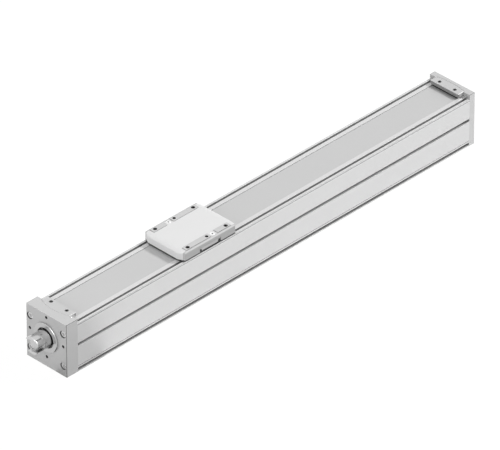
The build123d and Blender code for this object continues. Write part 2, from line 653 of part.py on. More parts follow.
def hub_set_screw():
    """The set screw that locks the hub on the journal."""
    length = HUB_RADIUS - JOURNAL_RADIUS - 0.8
    screw = Pos(0, 0, JOURNAL_RADIUS + 0.02 + length / 2) * Cylinder(M4_SCREW[0], length)
    socket = Pos(0, 0, HUB_RADIUS - 3) * extrude(RegularPolygon(1.15, 6), 4)
    return Pos(hub_screw_place(), 0, AXIS_HEIGHT) * Rot(HUB_SLOT_TURN, 0, 0) * (screw - socket)


def retaining_ring():
    """The open ring in the far journal's groove."""
    radius = FAR_BEARING["bore"]
    body = tube(radius + 2.0, radius - 0.58, FAR_BEARING_END + 0.05, FAR_BEARING_END + RETAINING_RING - 0.05)
    return body - box(FAR_BEARING_END - 1, FAR_BEARING_END + 2, -2, 2, AXIS_HEIGHT, AXIS_HEIGHT + radius + 3)


def strip_line(height_above):
    """The strip's height along X, as an edge chain in X and Z, flat, lifted over the neck, flat."""
    low, high = STRIP_SEAT + height_above, ARCH_HEIGHT + height_above
    start = PROFILE_START - heel_depth(DRIVE_CLAMP) + STRIP_END_GAP
    end = PROFILE_END + heel_depth(FAR_CLAMP) - STRIP_END_GAP
    lift = [SLIDE_CENTRE - STRIP_LIFT_START, SLIDE_CENTRE - STRIP_ARCH_HALF]
    drop = [SLIDE_CENTRE + STRIP_ARCH_HALF, SLIDE_CENTRE + STRIP_LIFT_START]
    level = (1, 0)
    return [
        Line((start, low), (lift[0], low)),
        Spline((lift[0], low), (lift[1], high), tangents=(level, level)),
        Line((lift[1], high), (drop[0], high)),
        Spline((drop[0], high), (drop[1], low), tangents=(level, level)),
        Line((drop[1], low), (end, low)),
    ]


def cover_strip():
    """The steel strip, arched over the neck inside the slide, with its clamp screws' holes."""
    lower, upper = strip_line(0), strip_line(STRIP_THICKNESS)
    close = [Line(lower[0] @ 0, upper[0] @ 0), Line(lower[-1] @ 1, upper[-1] @ 1)]
    face = make_face(lower + upper + close)
    body = extrude(Plane.XZ.offset(-STRIP_HALF) * face, amount=2 * STRIP_HALF)
    for x, y in all_clamp_screw_places():
        body -= post(M3_SCREW[0] + FREE, x, y, STRIP_SEAT - 1, STRIP_TOP + 1)
    return body


def strip_magnets():
    """Two magnet strips, flush with the strip's seat."""
    start, end = DRIVE_SPIGOT_END, FAR_SPIGOT_END
    inner, outer = MAGNET_INNER + 0.05, MAGNET_INNER + MAGNET_WIDTH - 0.05
    low = STRIP_SEAT - MAGNET_THICKNESS
    return group([box(start, end, *sorted((s * inner, s * outer)), low, STRIP_SEAT) for s in (-1, 1)])


def strip_clamp(inner_face, inward, clamp):
    """A clamp plate: its heel presses the strip's end down and its nose stands clear of the strip."""
    heel = inner_face - inward * (clamp["recess"] + 1)
    nose = inner_face + inward * clamp["reach"]
    root = nose - inward * CLAMP_NOSE
    body = clamp_blank(inner_face, inward, clamp, clamp["reach"], 0)
    body = chamfer(body.edges().group_by(Axis.Z)[-1], 0.4)
    for side in (-1, 1):
        beside = sorted((side * STRIP_HALF, side * HALF))
        body -= box(*sorted((heel, nose + inward)), *beside, STRIP_SEAT - 1, PROFILE_HEIGHT)
    body -= box(*sorted((heel, nose + inward)), -HALF, HALF, STRIP_SEAT - 1, STRIP_TOP)
    body -= box(*sorted((root, nose + inward)), -HALF, HALF, STRIP_SEAT - 1, CLAMP_NOSE_UNDERSIDE)
    shank, head, height, _ = M3_SCREW
    for x, y in clamp_screw_places(inner_face, inward, clamp):
        body -= post(shank + FREE, x, y, STRIP_SEAT - 1, CAP_HEIGHT)
        body -= post(head + FREE, x, y, CAP_HEIGHT - height - 0.5, CAP_HEIGHT + 1)
    return body


def clamp_screws():
    """The four screws of the two clamp plates."""
    seat = CAP_HEIGHT - M3_SCREW[2] - 0.5
    screw = socket_screw(M3_SCREW, seat - STRIP_SEAT + CLAMP_SCREW_GRIP)
    return group([Pos(x, y, seat) * screw for x, y in all_clamp_screw_places()])


def plugs():
    """Two plugs as (place, radius): in the drive cap's top and in the profile's lip by the far clamp."""
    beside = DRIVE_CLAMP["shift"] - CLAMP_HALF - DRIVE_PLUG_BESIDE_CLAMP
    near = (PROFILE_START - PLUG_INSET, beside, CAP_HEIGHT)
    beside = FAR_CLAMP["shift"] - CLAMP_HALF - FAR_PLUG_BESIDE_CLAMP
    far = (PROFILE_END - FAR_CLAMP["reach"] / 2, beside, PROFILE_HEIGHT)
    return (near, PLUG_RADIUS), (far, FAR_PLUG_RADIUS)


def sealing_plugs():
    """The plugs, each a low dome on a stem."""
    pieces = []
    for place, radius in plugs():
        dome = Pos(0, 0, -radius * 0.6) * Sphere(radius) & Pos(0, 0, radius / 2) * Box(9, 9, radius)
        stem = Pos(0, 0, -PLUG_STEM / 2) * Cylinder(radius * 0.8, PLUG_STEM)
        pieces.append(Pos(*place) * (dome + stem))
    return group(pieces)


def plug_hole(plug):
    """The hole of one plug."""
    (x, y, z), radius = plug
    return post(radius * 0.8 + FIT, x, y, z - PLUG_STEM - 0.5, z + 1)


def carrier():
    """The inner block on the runner blocks, with the neck, the bridge under the strip and two ears."""
    x = SLIDE_CENTRE
    half = CARRIER_WIDTH / 2
    points = [(half, BLOCK_TOP), (half, CARRIER_TOP - 4), (half - 4, CARRIER_TOP)]
    body = along_x(mirrored_section(points), x - CARRIER_HALF, x + CARRIER_HALF)
    neck, bridge = NECK_WIDTH / 2, TUNNEL_HALF
    body += box(x - NECK_LENGTH / 2, x + NECK_LENGTH / 2, -neck, neck, CARRIER_TOP - 1, BRIDGE_TOP)
    body += box(x - NECK_LENGTH / 2, x + NECK_LENGTH / 2, -bridge + FREE, bridge - FREE, SLIDE_BOTTOM, BRIDGE_TOP)
    body += box(x - EAR_LENGTH / 2, x + EAR_LENGTH / 2, -EAR_EDGE, EAR_EDGE, SLIDE_BOTTOM, BRIDGE_TOP)
    for side in (-1, 1):
        ear = sorted((side * TUNNEL_HALF, side * EAR_EDGE))
        body += box(x - EAR_LENGTH / 2, x + EAR_LENGTH / 2, *ear, SLIDE_BOTTOM, EAR_TOP)
    body -= rod(SCREW_RADIUS + 1.5, x - CARRIER_HALF - 1, x + CARRIER_HALF + 1)
    body -= rod(NUT_RADIUS + FIT, x - CARRIER_HALF - 1, x - CARRIER_HALF + NUT_BODY + 2)
    shank, head, height, _ = M4_SCREW
    for bx, by in runner_screw_places():
        body -= post(shank + FREE, bx, by, BLOCK_TOP - 1, CARRIER_TOP)
        body -= post(head + FREE, bx, by, BLOCK_TOP + 1.8, CARRIER_TOP + 1)
    for y, z in nut_screw_places():
        start = x - CARRIER_HALF
        body -= rod(shank + FIT, start - 1, start + NUT_SCREW_GRIP + 0.5, y, z)
    for bx, by in slide_bolt_places():
        body -= post(LOW_M5_SCREW[0] + FIT, bx, by, SLIDE_BOTTOM - 1, EAR_TOP + 1)
    return body


def runner_screw_places():
    """The runner blocks' screws in X and Y."""
    return [
        (SLIDE_CENTRE + block * BLOCK_OFFSET + dx * BLOCK_SCREW_X, dy * BLOCK_SCREW_Y)
        for block in (-1, 1) for dx in (-1, 1) for dy in (-1, 1)
    ]


def nut_screw_places():
    """The nut's screws in Y and Z."""
    step = NUT_SCREW_CIRCLE * math.sqrt(0.5)
    return [(sy * step, AXIS_HEIGHT + sz * step) for sy in (-1, 1) for sz in (-1, 1)]


def slide_bolt_places():
    """The two bolts that hold the slide plate on the carrier's ears."""
    return [(SLIDE_CENTRE - side * SLIDE_BOLT_X, side * SLIDE_BOLT_Y) for side in (-1, 1)]


def runner_section():
    """A runner block's section, open below around the rail."""
    half = BLOCK_WIDTH / 2
    low = FLOOR + BLOCK_UNDER_GAP
    points = [(0, low), (half, low), (half, BLOCK_TOP - 1.5), (half - 1.5, BLOCK_TOP)]
    return mirrored_section(points[1:]) - rail_section(SOFT)


def runner_block(side):
    """One runner block's steel body with its threaded holes."""
    middle = SLIDE_CENTRE + side * BLOCK_OFFSET
    body = along_x(runner_section(), middle - BLOCK_LENGTH / 2, middle + BLOCK_LENGTH / 2)
    for x, y in runner_screw_places():
        if abs(x - middle) < BLOCK_LENGTH / 2:
            body -= post(M4_SCREW[0] + FIT, x, y, BLOCK_TOP - BLOCK_SCREW_GRIP - 0.5, BLOCK_TOP + 1)
    return body


def runner_end_caps():
    """The plastic end caps of both runner blocks."""
    section = runner_section()
    caps = []
    for block in (-1, 1):
        middle = SLIDE_CENTRE + block * BLOCK_OFFSET
        for end in (-1, 1):
            inner = middle + end * BLOCK_LENGTH / 2
            outer = inner + end * BLOCK_CAP
            cap = along_x(section, *sorted((inner, outer)))
            caps.append(cap - box(*sorted((inner, outer)), -WIDTH, WIDTH, BLOCK_TOP - 0.5, BLOCK_TOP + 1))
    return group(caps)


def runner_screws():
    """The runner blocks' screws, seated in the carrier."""
    seat = BLOCK_TOP + 1.8
    screw = socket_screw(M4_SCREW, seat - BLOCK_TOP + BLOCK_SCREW_GRIP)
    return group([Pos(x, y, seat) * screw for x, y in runner_screw_places()])


def ball_nut():
    """The nut: a body in the carrier's bore and a flange on its end face."""
    face = SLIDE_CENTRE - CARRIER_HALF
    end = face + NUT_BODY
    front = face - NUT_FLANGE
    body = rod(NUT_RADIUS, face - 1, end) + rod(NUT_FLANGE_RADIUS, front, face)
    body -= rod(SCREW_RADIUS + RUNNING, front - 1, end + 1)
    for place in (front, end - WIPER_WIDTH):
        body -= rod(WIPER_RADIUS + FIT, place - (1 if place == front else 0), place + WIPER_WIDTH + 0.01)
    body -= rod(WIPER_RADIUS + FIT, end - 0.02, end + 1)
    shank, head, height, _ = M4_SCREW
    for y, z in nut_screw_places():
        body -= rod(shank + FREE, front - 1, face + 1, y, z)
        body -= rod(head + 0.1, front - 1, front + height + 0.4, y, z)
    return body


def nut_screws():
    """The screws that hold the nut's flange on the carrier."""
    seat = SLIDE_CENTRE - CARRIER_HALF - NUT_FLANGE + M4_SCREW[2] + 0.4
    grip = SLIDE_CENTRE - CARRIER_HALF - seat + NUT_SCREW_GRIP
    screw = Rot(0, -90, 0) * socket_screw(M4_SCREW, grip)
    return group([Pos(seat, y, z) * screw for y, z in nut_screw_places()])


def nut_wipers():
    """The plastic wipers in both ends of the nut."""
    front = SLIDE_CENTRE - CARRIER_HALF - NUT_FLANGE
    end = SLIDE_CENTRE - CARRIER_HALF + NUT_BODY
    starts = (front, end - WIPER_WIDTH)
    return group([tube(WIPER_RADIUS, SCREW_RADIUS + 0.1, x, x + WIPER_WIDTH) for x in starts])


def slide_outline():
    """The slide's outline from above, about its own centre, with its corners cut and rounded."""
    end = SLIDE_LENGTH / 2
    points = [(end, SLIDE_CORNER_START), (end - SLIDE_CORNER_LENGTH, HALF)]
    left = [(-x, y) for x, y in reversed(points)]
    lower = [(x, -y) for x, y in reversed(points + left)]
    face = make_face(Polyline(*points, *left, *lower, close=True))
    return fillet(face.vertices(), SLIDE_CORNER_RADIUS)


def slide_end_cut(side):
    """What is cut off over one end of the slide, where its top curves down."""
    end = side * SLIDE_LENGTH / 2
    run = side * (SLIDE_LENGTH / 2 - SLIDE_END_RUN)
    low, above = SLIDE_TOP - SLIDE_END_DROP, SLIDE_TOP + 2
    edges = [
        TangentArc((run, SLIDE_TOP), (end, low), tangent=(side, 0)),
        Line((end, low), (end + 2 * side, low)),
        Line((end + 2 * side, low), (end + 2 * side, above)),
        Line((end + 2 * side, above), (run, above)),
        Line((run, above), (run, SLIDE_TOP)),
    ]
    return extrude(Plane.XZ.offset(-HALF - 1) * make_face(edges), WIDTH + 2)


def slide_edge_cut(side):
    """What is cut off along one long top edge of the slide to round it."""
    radius, outer, above = SLIDE_EDGE_RADIUS, side * (HALF + 1), SLIDE_TOP + 1
    edges = [
        TangentArc((side * (HALF - radius), SLIDE_TOP), (side * HALF, SLIDE_TOP - radius), tangent=(side, 0)),
        Line((side * HALF, SLIDE_TOP - radius), (outer, SLIDE_TOP - radius)),
        Line((outer, SLIDE_TOP - radius), (outer, above)),
        Line((outer, above), (side * (HALF - radius), above)),
        Line((side * (HALF - radius), above), (side * (HALF - radius), SLIDE_TOP)),
    ]
    return along_x(make_face(edges), -SLIDE_LENGTH / 2 - 1, SLIDE_LENGTH / 2 + 1)


def slide_pads():
    """The raised pads, with a gap on each side where a bolt sits."""
    pads = []
    for side in (-1, 1):
        near, far = PAD_GAP
        rows = [(-PAD_END, -far), (-near, PAD_END)] if side > 0 else [(-PAD_END, near), (far, PAD_END)]
        for x0, x1 in rows:
            pad = box(x0, x1, *sorted((side * PAD_INNER, side * PAD_OUTER)), SLIDE_TOP - 1.5, SLIDE_TOP + PAD_HEIGHT)
            pads.append(fillet(pad.edges().filter_by(Axis.Z), 1.5))
    return pads


def slide_hole_places():
    """The slide's four threaded holes about its own centre."""
    return [(sx * SLIDE_HOLES_X / 2, sy * SLIDE_HOLES_Y / 2) for sx in (-1, 1) for sy in (-1, 1)]


def slide_plate():
    """The slide's plate: outline, pads, threaded and centring holes, side pockets, strip tunnel."""
    body = extrude(Pos(0, 0, SLIDE_BOTTOM) * slide_outline(), SLIDE_TOP - SLIDE_BOTTOM)
    for side in (-1, 1):
        body -= slide_end_cut(side)
        body -= slide_edge_cut(side)
    for pad in slide_pads():
        body += pad
    body -= box(-TUNNEL_END, TUNNEL_END, -TUNNEL_HALF, TUNNEL_HALF, SLIDE_BOTTOM - 1, TUNNEL_TOP)
    ear = EAR_LENGTH / 2 + FREE
    body -= box(-ear, ear, -EAR_EDGE - FREE, EAR_EDGE + FREE, SLIDE_BOTTOM - 1, EAR_TOP)
    wiper = SLIDE_LENGTH / 2 - 0.6
    for side in (-1, 1):
        ends = sorted((side * (wiper - WIPER_BAR), side * wiper))
        body -= box(*ends, -STRIP_HALF, STRIP_HALF, SLIDE_BOTTOM - 1, SLIDE_BOTTOM + 3)
        for end in (-1, 1):
            seal = sorted((end * (ear + 1), end * STRIP_LIFT_START))
            middle = side * (LIP_EDGE + TOP_GROOVE_WIDTH / 2)
            body -= box(*seal, middle - SEAL_WIDTH / 2, middle + SEAL_WIDTH / 2, SLIDE_BOTTOM - 1, SLIDE_BOTTOM + SEAL_GRIP)
        pocket = sorted((side * (HALF - POCKET_DEPTH), side * (HALF + 1)))
        body -= box(-POCKET_HALF, POCKET_HALF, *pocket, SLIDE_BOTTOM - 1, POCKET_TOP)
    top = SLIDE_TOP + PAD_HEIGHT
    for x, y in slide_hole_places():
        body -= post(SLIDE_HOLE_RADIUS, x, y, top - SLIDE_HOLE_DEPTH, top + 1)
        rim = SLIDE_HOLE_RADIUS + SLIDE_HOLE_CHAMFER
        body -= Pos(x, y, top - SLIDE_HOLE_CHAMFER / 2) * Cone(SLIDE_HOLE_RADIUS, rim, SLIDE_HOLE_CHAMFER + 0.001)
    for side in (-1, 1):
        body -= post(CENTRING_RADIUS, 0, side * SLIDE_HOLES_Y / 2, top - CENTRING_DEPTH, top + 1)
        for nipple in (-1, 1):
            inner = HALF - POCKET_DEPTH - NIPPLE_SEAT
            hole = Pos(nipple * NIPPLE_X, side * (inner + 3), NIPPLE_HEIGHT) * Rot(90, 0, 0)
            body -= hole * Cylinder(NIPPLE_RADIUS + FIT, 6)
    body = Pos(SLIDE_CENTRE, 0, 0) * body
    shank, head, height, _ = LOW_M5_SCREW
    for x, y in slide_bolt_places():
        body -= post(shank + FREE, x, y, SLIDE_BOTTOM, SLIDE_TOP)
        body -= post(head + SLIDE_BOLT_GAP, x, y, SLIDE_TOP - height, SLIDE_TOP + 1)
    return body


def slide_bolts():
    """The bolts that hold the slide plate on the carrier."""
    seat = SLIDE_TOP - LOW_M5_SCREW[2]
    screw = socket_screw(LOW_M5_SCREW, seat - SLIDE_BOTTOM)
    return group([Pos(x, y, seat) * screw for x, y in slide_bolt_places()])


def nipples():
    """The four lubrication nipples in the slide's side pockets."""
    pieces = []
    for side in (-1, 1):
        for x in (-NIPPLE_X, NIPPLE_X):
            inner = HALF - POCKET_DEPTH - NIPPLE_SEAT
            length = NIPPLE_SEAT + 0.8
            body = Cylinder(NIPPLE_RADIUS, length)
            body -= Pos(0, 0, length / 2 - 0.6) * Cone(0.5, 1.3, 1.21)
            place = Pos(SLIDE_CENTRE + x, side * (inner + length / 2), NIPPLE_HEIGHT)
            pieces.append(place * Rot(-side * 90, 0, 0) * body)
    return group(pieces)


def strip_guide(side):
    """A plastic wedge in the tunnel that leads the strip up over the neck."""
    def at(x, z):
        return (SLIDE_CENTRE + side * x, z)

    above = STRIP_THICKNESS + SOFT
    outer, inner = STRIP_LIFT_START, STRIP_ARCH_HALF
    low, high = STRIP_SEAT + above, ARCH_HEIGHT + above
    level = (-side, 0)
    edges = [
        Line(at(TUNNEL_END - FREE, TUNNEL_TOP), at(TUNNEL_END - FREE, low)),
        Line(at(TUNNEL_END - FREE, low), at(outer, low)),
        Spline(at(outer, low), at(inner, high), tangents=(level, level)),
        Line(at(inner, high), at(inner, TUNNEL_TOP)),
        Line(at(inner, TUNNEL_TOP), at(TUNNEL_END - FREE, TUNNEL_TOP)),
    ]
    half = TUNNEL_HALF - FREE
    body = extrude(Plane.XZ.offset(-half) * make_face(edges), amount=2 * half)
    ends = (SLIDE_CENTRE - CARRIER_HALF, SLIDE_CENTRE + CARRIER_HALF)
    floor = box(*ends, -half, half, STRIP_SEAT, SLIDE_BOTTOM)
    lips = floor - box(*ends, -STRIP_HALF, STRIP_HALF, STRIP_SEAT, SLIDE_BOTTOM)
    return body - lips


def strip_wipers():
    """The wiper bars under both ends of the slide."""
    outer = SLIDE_LENGTH / 2 - 0.6
    half = STRIP_HALF - 0.1
    pieces = []
    for side in (-1, 1):
        ends = sorted((SLIDE_CENTRE + side * (outer - WIPER_BAR + 0.05), SLIDE_CENTRE + side * (outer - 0.05)))
        pieces.append(box(*ends, -half, half, STRIP_TOP + 0.05, SLIDE_BOTTOM + 3))
    return group(pieces)


def side_seals():
    """The lips under the slide that run in the profile's top grooves."""
    pieces = []
    middle = LIP_EDGE + TOP_GROOVE_WIDTH / 2
    half = SEAL_WIDTH / 2 - 0.02
    start = EAR_LENGTH / 2 + FREE + 1
    for side in (-1, 1):
        for end in (-1, 1):
            ends = sorted((SLIDE_CENTRE + end * (start + 0.1), SLIDE_CENTRE + end * (STRIP_LIFT_START - 0.1)))
            y = side * middle
            pieces.append(box(*ends, y - half, y + half, PROFILE_HEIGHT - SEAL_DIP, SLIDE_BOTTOM + SEAL_GRIP))
    return group(pieces)


def main():
    """Build every node and write it to the parts folder."""
    drive_start, far_start = PILOT_BACK, FAR_BEARING_START
    nodes = {
        "profile": profile(),
        "guide_rail": guide_rail(),
        "rail_screws": rail_screws(),
        "drive_cap": drive_cap(),
        "drive_cap_screws": cap_screws(DRIVE_FACE, -1, DRIVE_CAP_THICKNESS),
        "pilot_ring": pilot_ring(),
        "far_cap": far_cap(),
        "far_cap_screws": cap_screws(FAR_FACE, 1, FAR_CAP_THICKNESS),
        "cover_strip": cover_strip(),
        "strip_magnets": strip_magnets(),
        "drive_strip_clamp": strip_clamp(PROFILE_START, 1, DRIVE_CLAMP),
        "far_strip_clamp": strip_clamp(PROFILE_END, -1, FAR_CLAMP),
        "strip_clamp_screws": clamp_screws(),
        "sealing_plugs": sealing_plugs(),
        "drive_buffers": buffers(DRIVE_SPIGOT_END, 1, DRIVE_BUFFER_FREE),
        "far_buffers": buffers(FAR_SPIGOT_END, -1, FAR_BUFFER_FREE),
        "drive_bearing_ring": outer_ring(DRIVE_BEARING, drive_start),
        "far_bearing_ring": outer_ring(FAR_BEARING, far_start),
        "slide_plate": slide_plate(),
        "carrier": carrier(),
        "slide_bolts": slide_bolts(),
        "runner_block_drive": runner_block(-1),
        "runner_block_far": runner_block(1),
        "runner_end_caps": runner_end_caps(),
        "runner_screws": runner_screws(),
        "ball_nut": ball_nut(),
        "nut_screws": nut_screws(),
        "nut_wipers": nut_wipers(),
        "drive_strip_guide": strip_guide(-1),
        "far_strip_guide": strip_guide(1),
        "strip_wipers": strip_wipers(),
        "side_seals": side_seals(),
        "lubrication_nipples": nipples(),
        "ball_screw": ball_screw(),
        "drive_bearing_inner_ring": inner_ring(DRIVE_BEARING, drive_start),
        "far_bearing_inner_ring": inner_ring(FAR_BEARING, far_start),
        "drive_lock_nut": lock_nut(),
        "drive_hub": drive_hub(),
        "hub_set_screw": hub_set_screw(),
        "far_retaining_ring": retaining_ring(),
        "drive_bearing_balls": bearing_balls(DRIVE_BEARING, drive_start),
        "drive_bearing_cage": bearing_cage(DRIVE_BEARING, drive_start),
        "far_bearing_balls": bearing_balls(FAR_BEARING, far_start),
        "far_bearing_cage": bearing_cage(FAR_BEARING, far_start),
    }
    os.makedirs("parts", exist_ok=True)
    for name, shape in nodes.items():
        export_step(shape, f"parts/{name}.step")
        print(name, round(shape.volume, 1))


main()
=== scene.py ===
"""Looks for the ball screw linear axis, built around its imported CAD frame.

Lengths are in metres in the row frame: X runs along the travel away from the drive end, Z runs up from the
foot, and the side that the photograph shows faces minus Y. Every CAD node keeps its place and its mesh. The
cover strip and the ball screw are drawn again here with more detail than the solids carry.
"""

import json
import logging
import math
from dataclasses import dataclass, replace
from enum import Enum
from typing import Callable

import bpy
import numpy as np
from mathutils import Matrix, Vector

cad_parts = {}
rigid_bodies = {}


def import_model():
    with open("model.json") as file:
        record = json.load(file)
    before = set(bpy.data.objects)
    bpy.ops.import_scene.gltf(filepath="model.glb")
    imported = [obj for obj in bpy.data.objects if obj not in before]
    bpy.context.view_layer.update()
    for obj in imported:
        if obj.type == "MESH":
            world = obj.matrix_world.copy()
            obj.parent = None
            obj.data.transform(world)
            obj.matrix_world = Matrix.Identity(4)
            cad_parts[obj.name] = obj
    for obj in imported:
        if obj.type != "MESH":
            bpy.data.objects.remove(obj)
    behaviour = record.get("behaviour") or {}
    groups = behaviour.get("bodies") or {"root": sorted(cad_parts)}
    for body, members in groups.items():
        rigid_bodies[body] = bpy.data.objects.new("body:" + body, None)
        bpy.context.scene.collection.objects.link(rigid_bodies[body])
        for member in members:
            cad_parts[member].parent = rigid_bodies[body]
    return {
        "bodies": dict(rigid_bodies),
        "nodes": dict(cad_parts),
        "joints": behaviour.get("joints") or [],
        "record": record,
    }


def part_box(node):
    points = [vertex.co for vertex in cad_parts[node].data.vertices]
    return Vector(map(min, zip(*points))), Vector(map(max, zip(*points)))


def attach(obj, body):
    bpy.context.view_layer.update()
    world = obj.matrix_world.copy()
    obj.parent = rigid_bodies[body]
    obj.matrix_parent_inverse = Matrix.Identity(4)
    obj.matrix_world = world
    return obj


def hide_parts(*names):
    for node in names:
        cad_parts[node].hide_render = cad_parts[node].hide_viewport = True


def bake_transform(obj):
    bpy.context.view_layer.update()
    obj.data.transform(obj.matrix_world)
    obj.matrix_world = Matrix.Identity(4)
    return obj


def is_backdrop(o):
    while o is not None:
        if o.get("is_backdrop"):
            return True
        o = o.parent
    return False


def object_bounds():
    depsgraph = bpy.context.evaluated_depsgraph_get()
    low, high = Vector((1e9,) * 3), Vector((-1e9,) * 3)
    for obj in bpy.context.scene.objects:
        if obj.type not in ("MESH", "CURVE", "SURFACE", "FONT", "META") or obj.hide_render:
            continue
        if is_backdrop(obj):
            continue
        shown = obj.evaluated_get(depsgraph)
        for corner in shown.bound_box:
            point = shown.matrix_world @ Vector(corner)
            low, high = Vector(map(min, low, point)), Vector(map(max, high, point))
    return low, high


logging.basicConfig(level=logging.INFO, format="%(levelname)s %(name)s: %(message)s")
LOG = logging.getLogger("linear_axis")

# Fitted camera: turn about Z, rise above the horizon, distance and lens, and where the frame's middle lies
CAMERA_TURN = -45.3795
CAMERA_RISE = 34.3475
CAMERA_DISTANCE = 11.4168
CAMERA_LENS = 576.8
SENSOR_WIDTH = 36.0
CAMERA_TARGET = (0.0, 0.0, 0.04448)
CAMERA_SHIFT_RIGHT = 0.006896
CAMERA_SHIFT_UP = 0.0052

WHITE = (1.0, 1.0, 1.0, 1.0)

# Ball screw
SCREW_HEIGHT = 0.050
SCREW_LEAD = 0.020
SCREW_STARTS = 2
SCREW_GROOVE_DEPTH = 0.0011
SCREW_GROOVE_SHARE = 0.62
SCREW_RINGS_PER_TURN = 28
SCREW_SEGMENTS = 44

# Linings of holes, and limits of tones
THREAD_WALL_GAP = 0.00002
THREAD_ROWS_PER_TURN = 8
THREAD_SEGMENTS = 28
ZONE_BLUR = 0.00004

# Lengths that count as none, and steps per metre that places are rounded to
HAIR = 1e-6
MICRONS = 1e6
TEN_MICRONS = 1e5


class Grain(Enum):
    """How a surface's fine marks run."""

    EVEN = "even"
    ALONG_X = "along_x"
    TURNED = "turned"


class Side(Enum):
    """Which Object coordinate a limit reads, which way it grows, and whether both halves count."""

    TOWARDS_FAR_END = (0, 1, False)
    TOWARDS_DRIVE_END = (0, -1, False)
    OUTWARD = (1, 1, True)
    INWARD = (1, -1, True)
    UPWARD = (2, 1, False)
    DOWNWARD = (2, -1, False)


@dataclass(frozen=True)
class Zone:
    """Where a surface has another tone.

    Attributes:
        tone: What the colour is multiplied by there.
        limits: Sides and the distances beyond which the zone holds, in metres. All must hold.
    """

    tone: float
    limits: tuple[tuple[Side, float], ...]


@dataclass(frozen=True)
class Finish:
    """One surface finish.

    Attributes:
        name: The material's name.
        colour: Linear base colour.
        metallic: Share of metal in the surface, 0 to 1.
        roughness: Middle roughness, 0 to 1.
        grain: How the fine marks run.
        grain_scale: Marks per metre across their direction.
        grain_depth: Height of the marks, in metres.
        tone_spread: How far the colour drifts over the surface, as a share.
        edge_radius: Radius that corners are shaded with, in metres.
        slot: The record's material slot, where it isn't the name; not used.
        zones: Where the tone differs.
        gloss: Specular level of the share that isn't metal.
    """

    name: str
    colour: tuple[float, float, float]
    metallic: float
    roughness: float
    grain: Grain = Grain.EVEN
    grain_scale: float = 2500.0
    grain_depth: float = 0.000002
    tone_spread: float = 0.02
    edge_radius: float = 0.0004
    slot: str = ""
    zones: tuple[Zone, ...] = ()
    gloss: float = 0.5


def grey(tone: float) -> tuple[float, float, float]:
    """Return the neutral colour of a tone."""
    return tone, tone, tone


ANODISED_PROFILE = Finish(
    "anodised_profile", grey(0.72), 0.25, 0.42, Grain.ALONG_X, 1800.0, 0.000003, 0.015, 0.0003
)
CAP_ALUMINIUM = Finish("cap_aluminium", grey(0.51), 0.25, 0.45, grain_scale=2600.0)
CLAMP_ALUMINIUM = replace(CAP_ALUMINIUM, name="clamp_aluminium", colour=grey(0.59), edge_radius=0.0003)
SLIDE_ALUMINIUM = Finish(
    "slide_aluminium", grey(0.79), 0.1, 0.55, grain_scale=2600.0, tone_spread=0.015, edge_radius=0.0006
)
STRIP_STEEL = Finish(
    "strip_steel", grey(0.59), 0.25, 0.40, Grain.ALONG_X, 2400.0, tone_spread=0.015, edge_radius=0.0001
)
GROUND_STEEL = Finish("ground_steel", grey(0.56), 0.90, 0.28, Grain.ALONG_X, 3000.0, 0.000001, 0.02, 0.0002)
TURNED_STEEL = Finish("turned_steel", grey(0.50), 1.0, 0.28, Grain.TURNED, 2500.0, 0.000003, 0.02, 0.0002)
HUB_STEEL = replace(TURNED_STEEL, name="hub_steel", colour=grey(0.60), roughness=0.16, slot="turned_steel")
SCREW_STEEL = Finish("screw_steel", grey(0.43), 0.85, 0.36, tone_spread=0.03, edge_radius=0.0002)
BRIGHT_SCREW = replace(
    SCREW_STEEL, name="bright_screw_steel", colour=grey(0.74), metallic=0.35, slot="screw_steel"
)
BLACK_STEEL = Finish(
    "black_steel", grey(0.05), 0.5, 0.4, grain_scale=2600.0, tone_spread=0.03, edge_radius=0.0002,
    slot="screw_steel",
)
MAGNET = Finish(
    "magnet_strip", (0.05, 0.048, 0.046), 0.0, 0.75, Grain.EVEN, 1500.0, 0.000004, 0.05, 0.0002
)
DARK_PLASTIC = Finish(
    "dark_plastic", (0.018, 0.018, 0.02), 0.0, 0.5, Grain.EVEN, 900.0, 0.000004, 0.05, 0.0002
)
PALE_PLASTIC = replace(DARK_PLASTIC, name="pale_plastic", colour=(0.60, 0.58, 0.52), tone_spread=0.03)
RUBBER = Finish("buffer_rubber", grey(0.02), 0.0, 0.7, Grain.EVEN, 900.0, 0.000006, 0.05, 0.0003)
# Near-black hole linings: painted shade, standing in for the darkness deep inside threaded holes, bores and
# screw recesses
BORE_SHADE = Finish(
    "painted_shade_bore_slide", grey(0.035), 0.3, 0.5, grain_scale=2600.0, tone_spread=0.03, edge_radius=0.0001,
    slot="slide_aluminium",
)
BORE_SHADE_CAP = replace(BORE_SHADE, name="painted_shade_bore_cap", slot="cap_aluminium")


def add_node(tree: bpy.types.NodeTree, kind: str, **values: object) -> bpy.types.Node:
    """Add a node and set its sockets' own values.

    Args:
        tree: The nodes it joins.
        kind: The node's type, without its first word.
        values: The values by socket name, with low lines for spaces.

    Returns:
        The node.
    """
    node = tree.nodes.new("ShaderNode" + kind)
    for name, value in values.items():
        node.inputs[name.replace("_", " ")].default_value = value
    return node


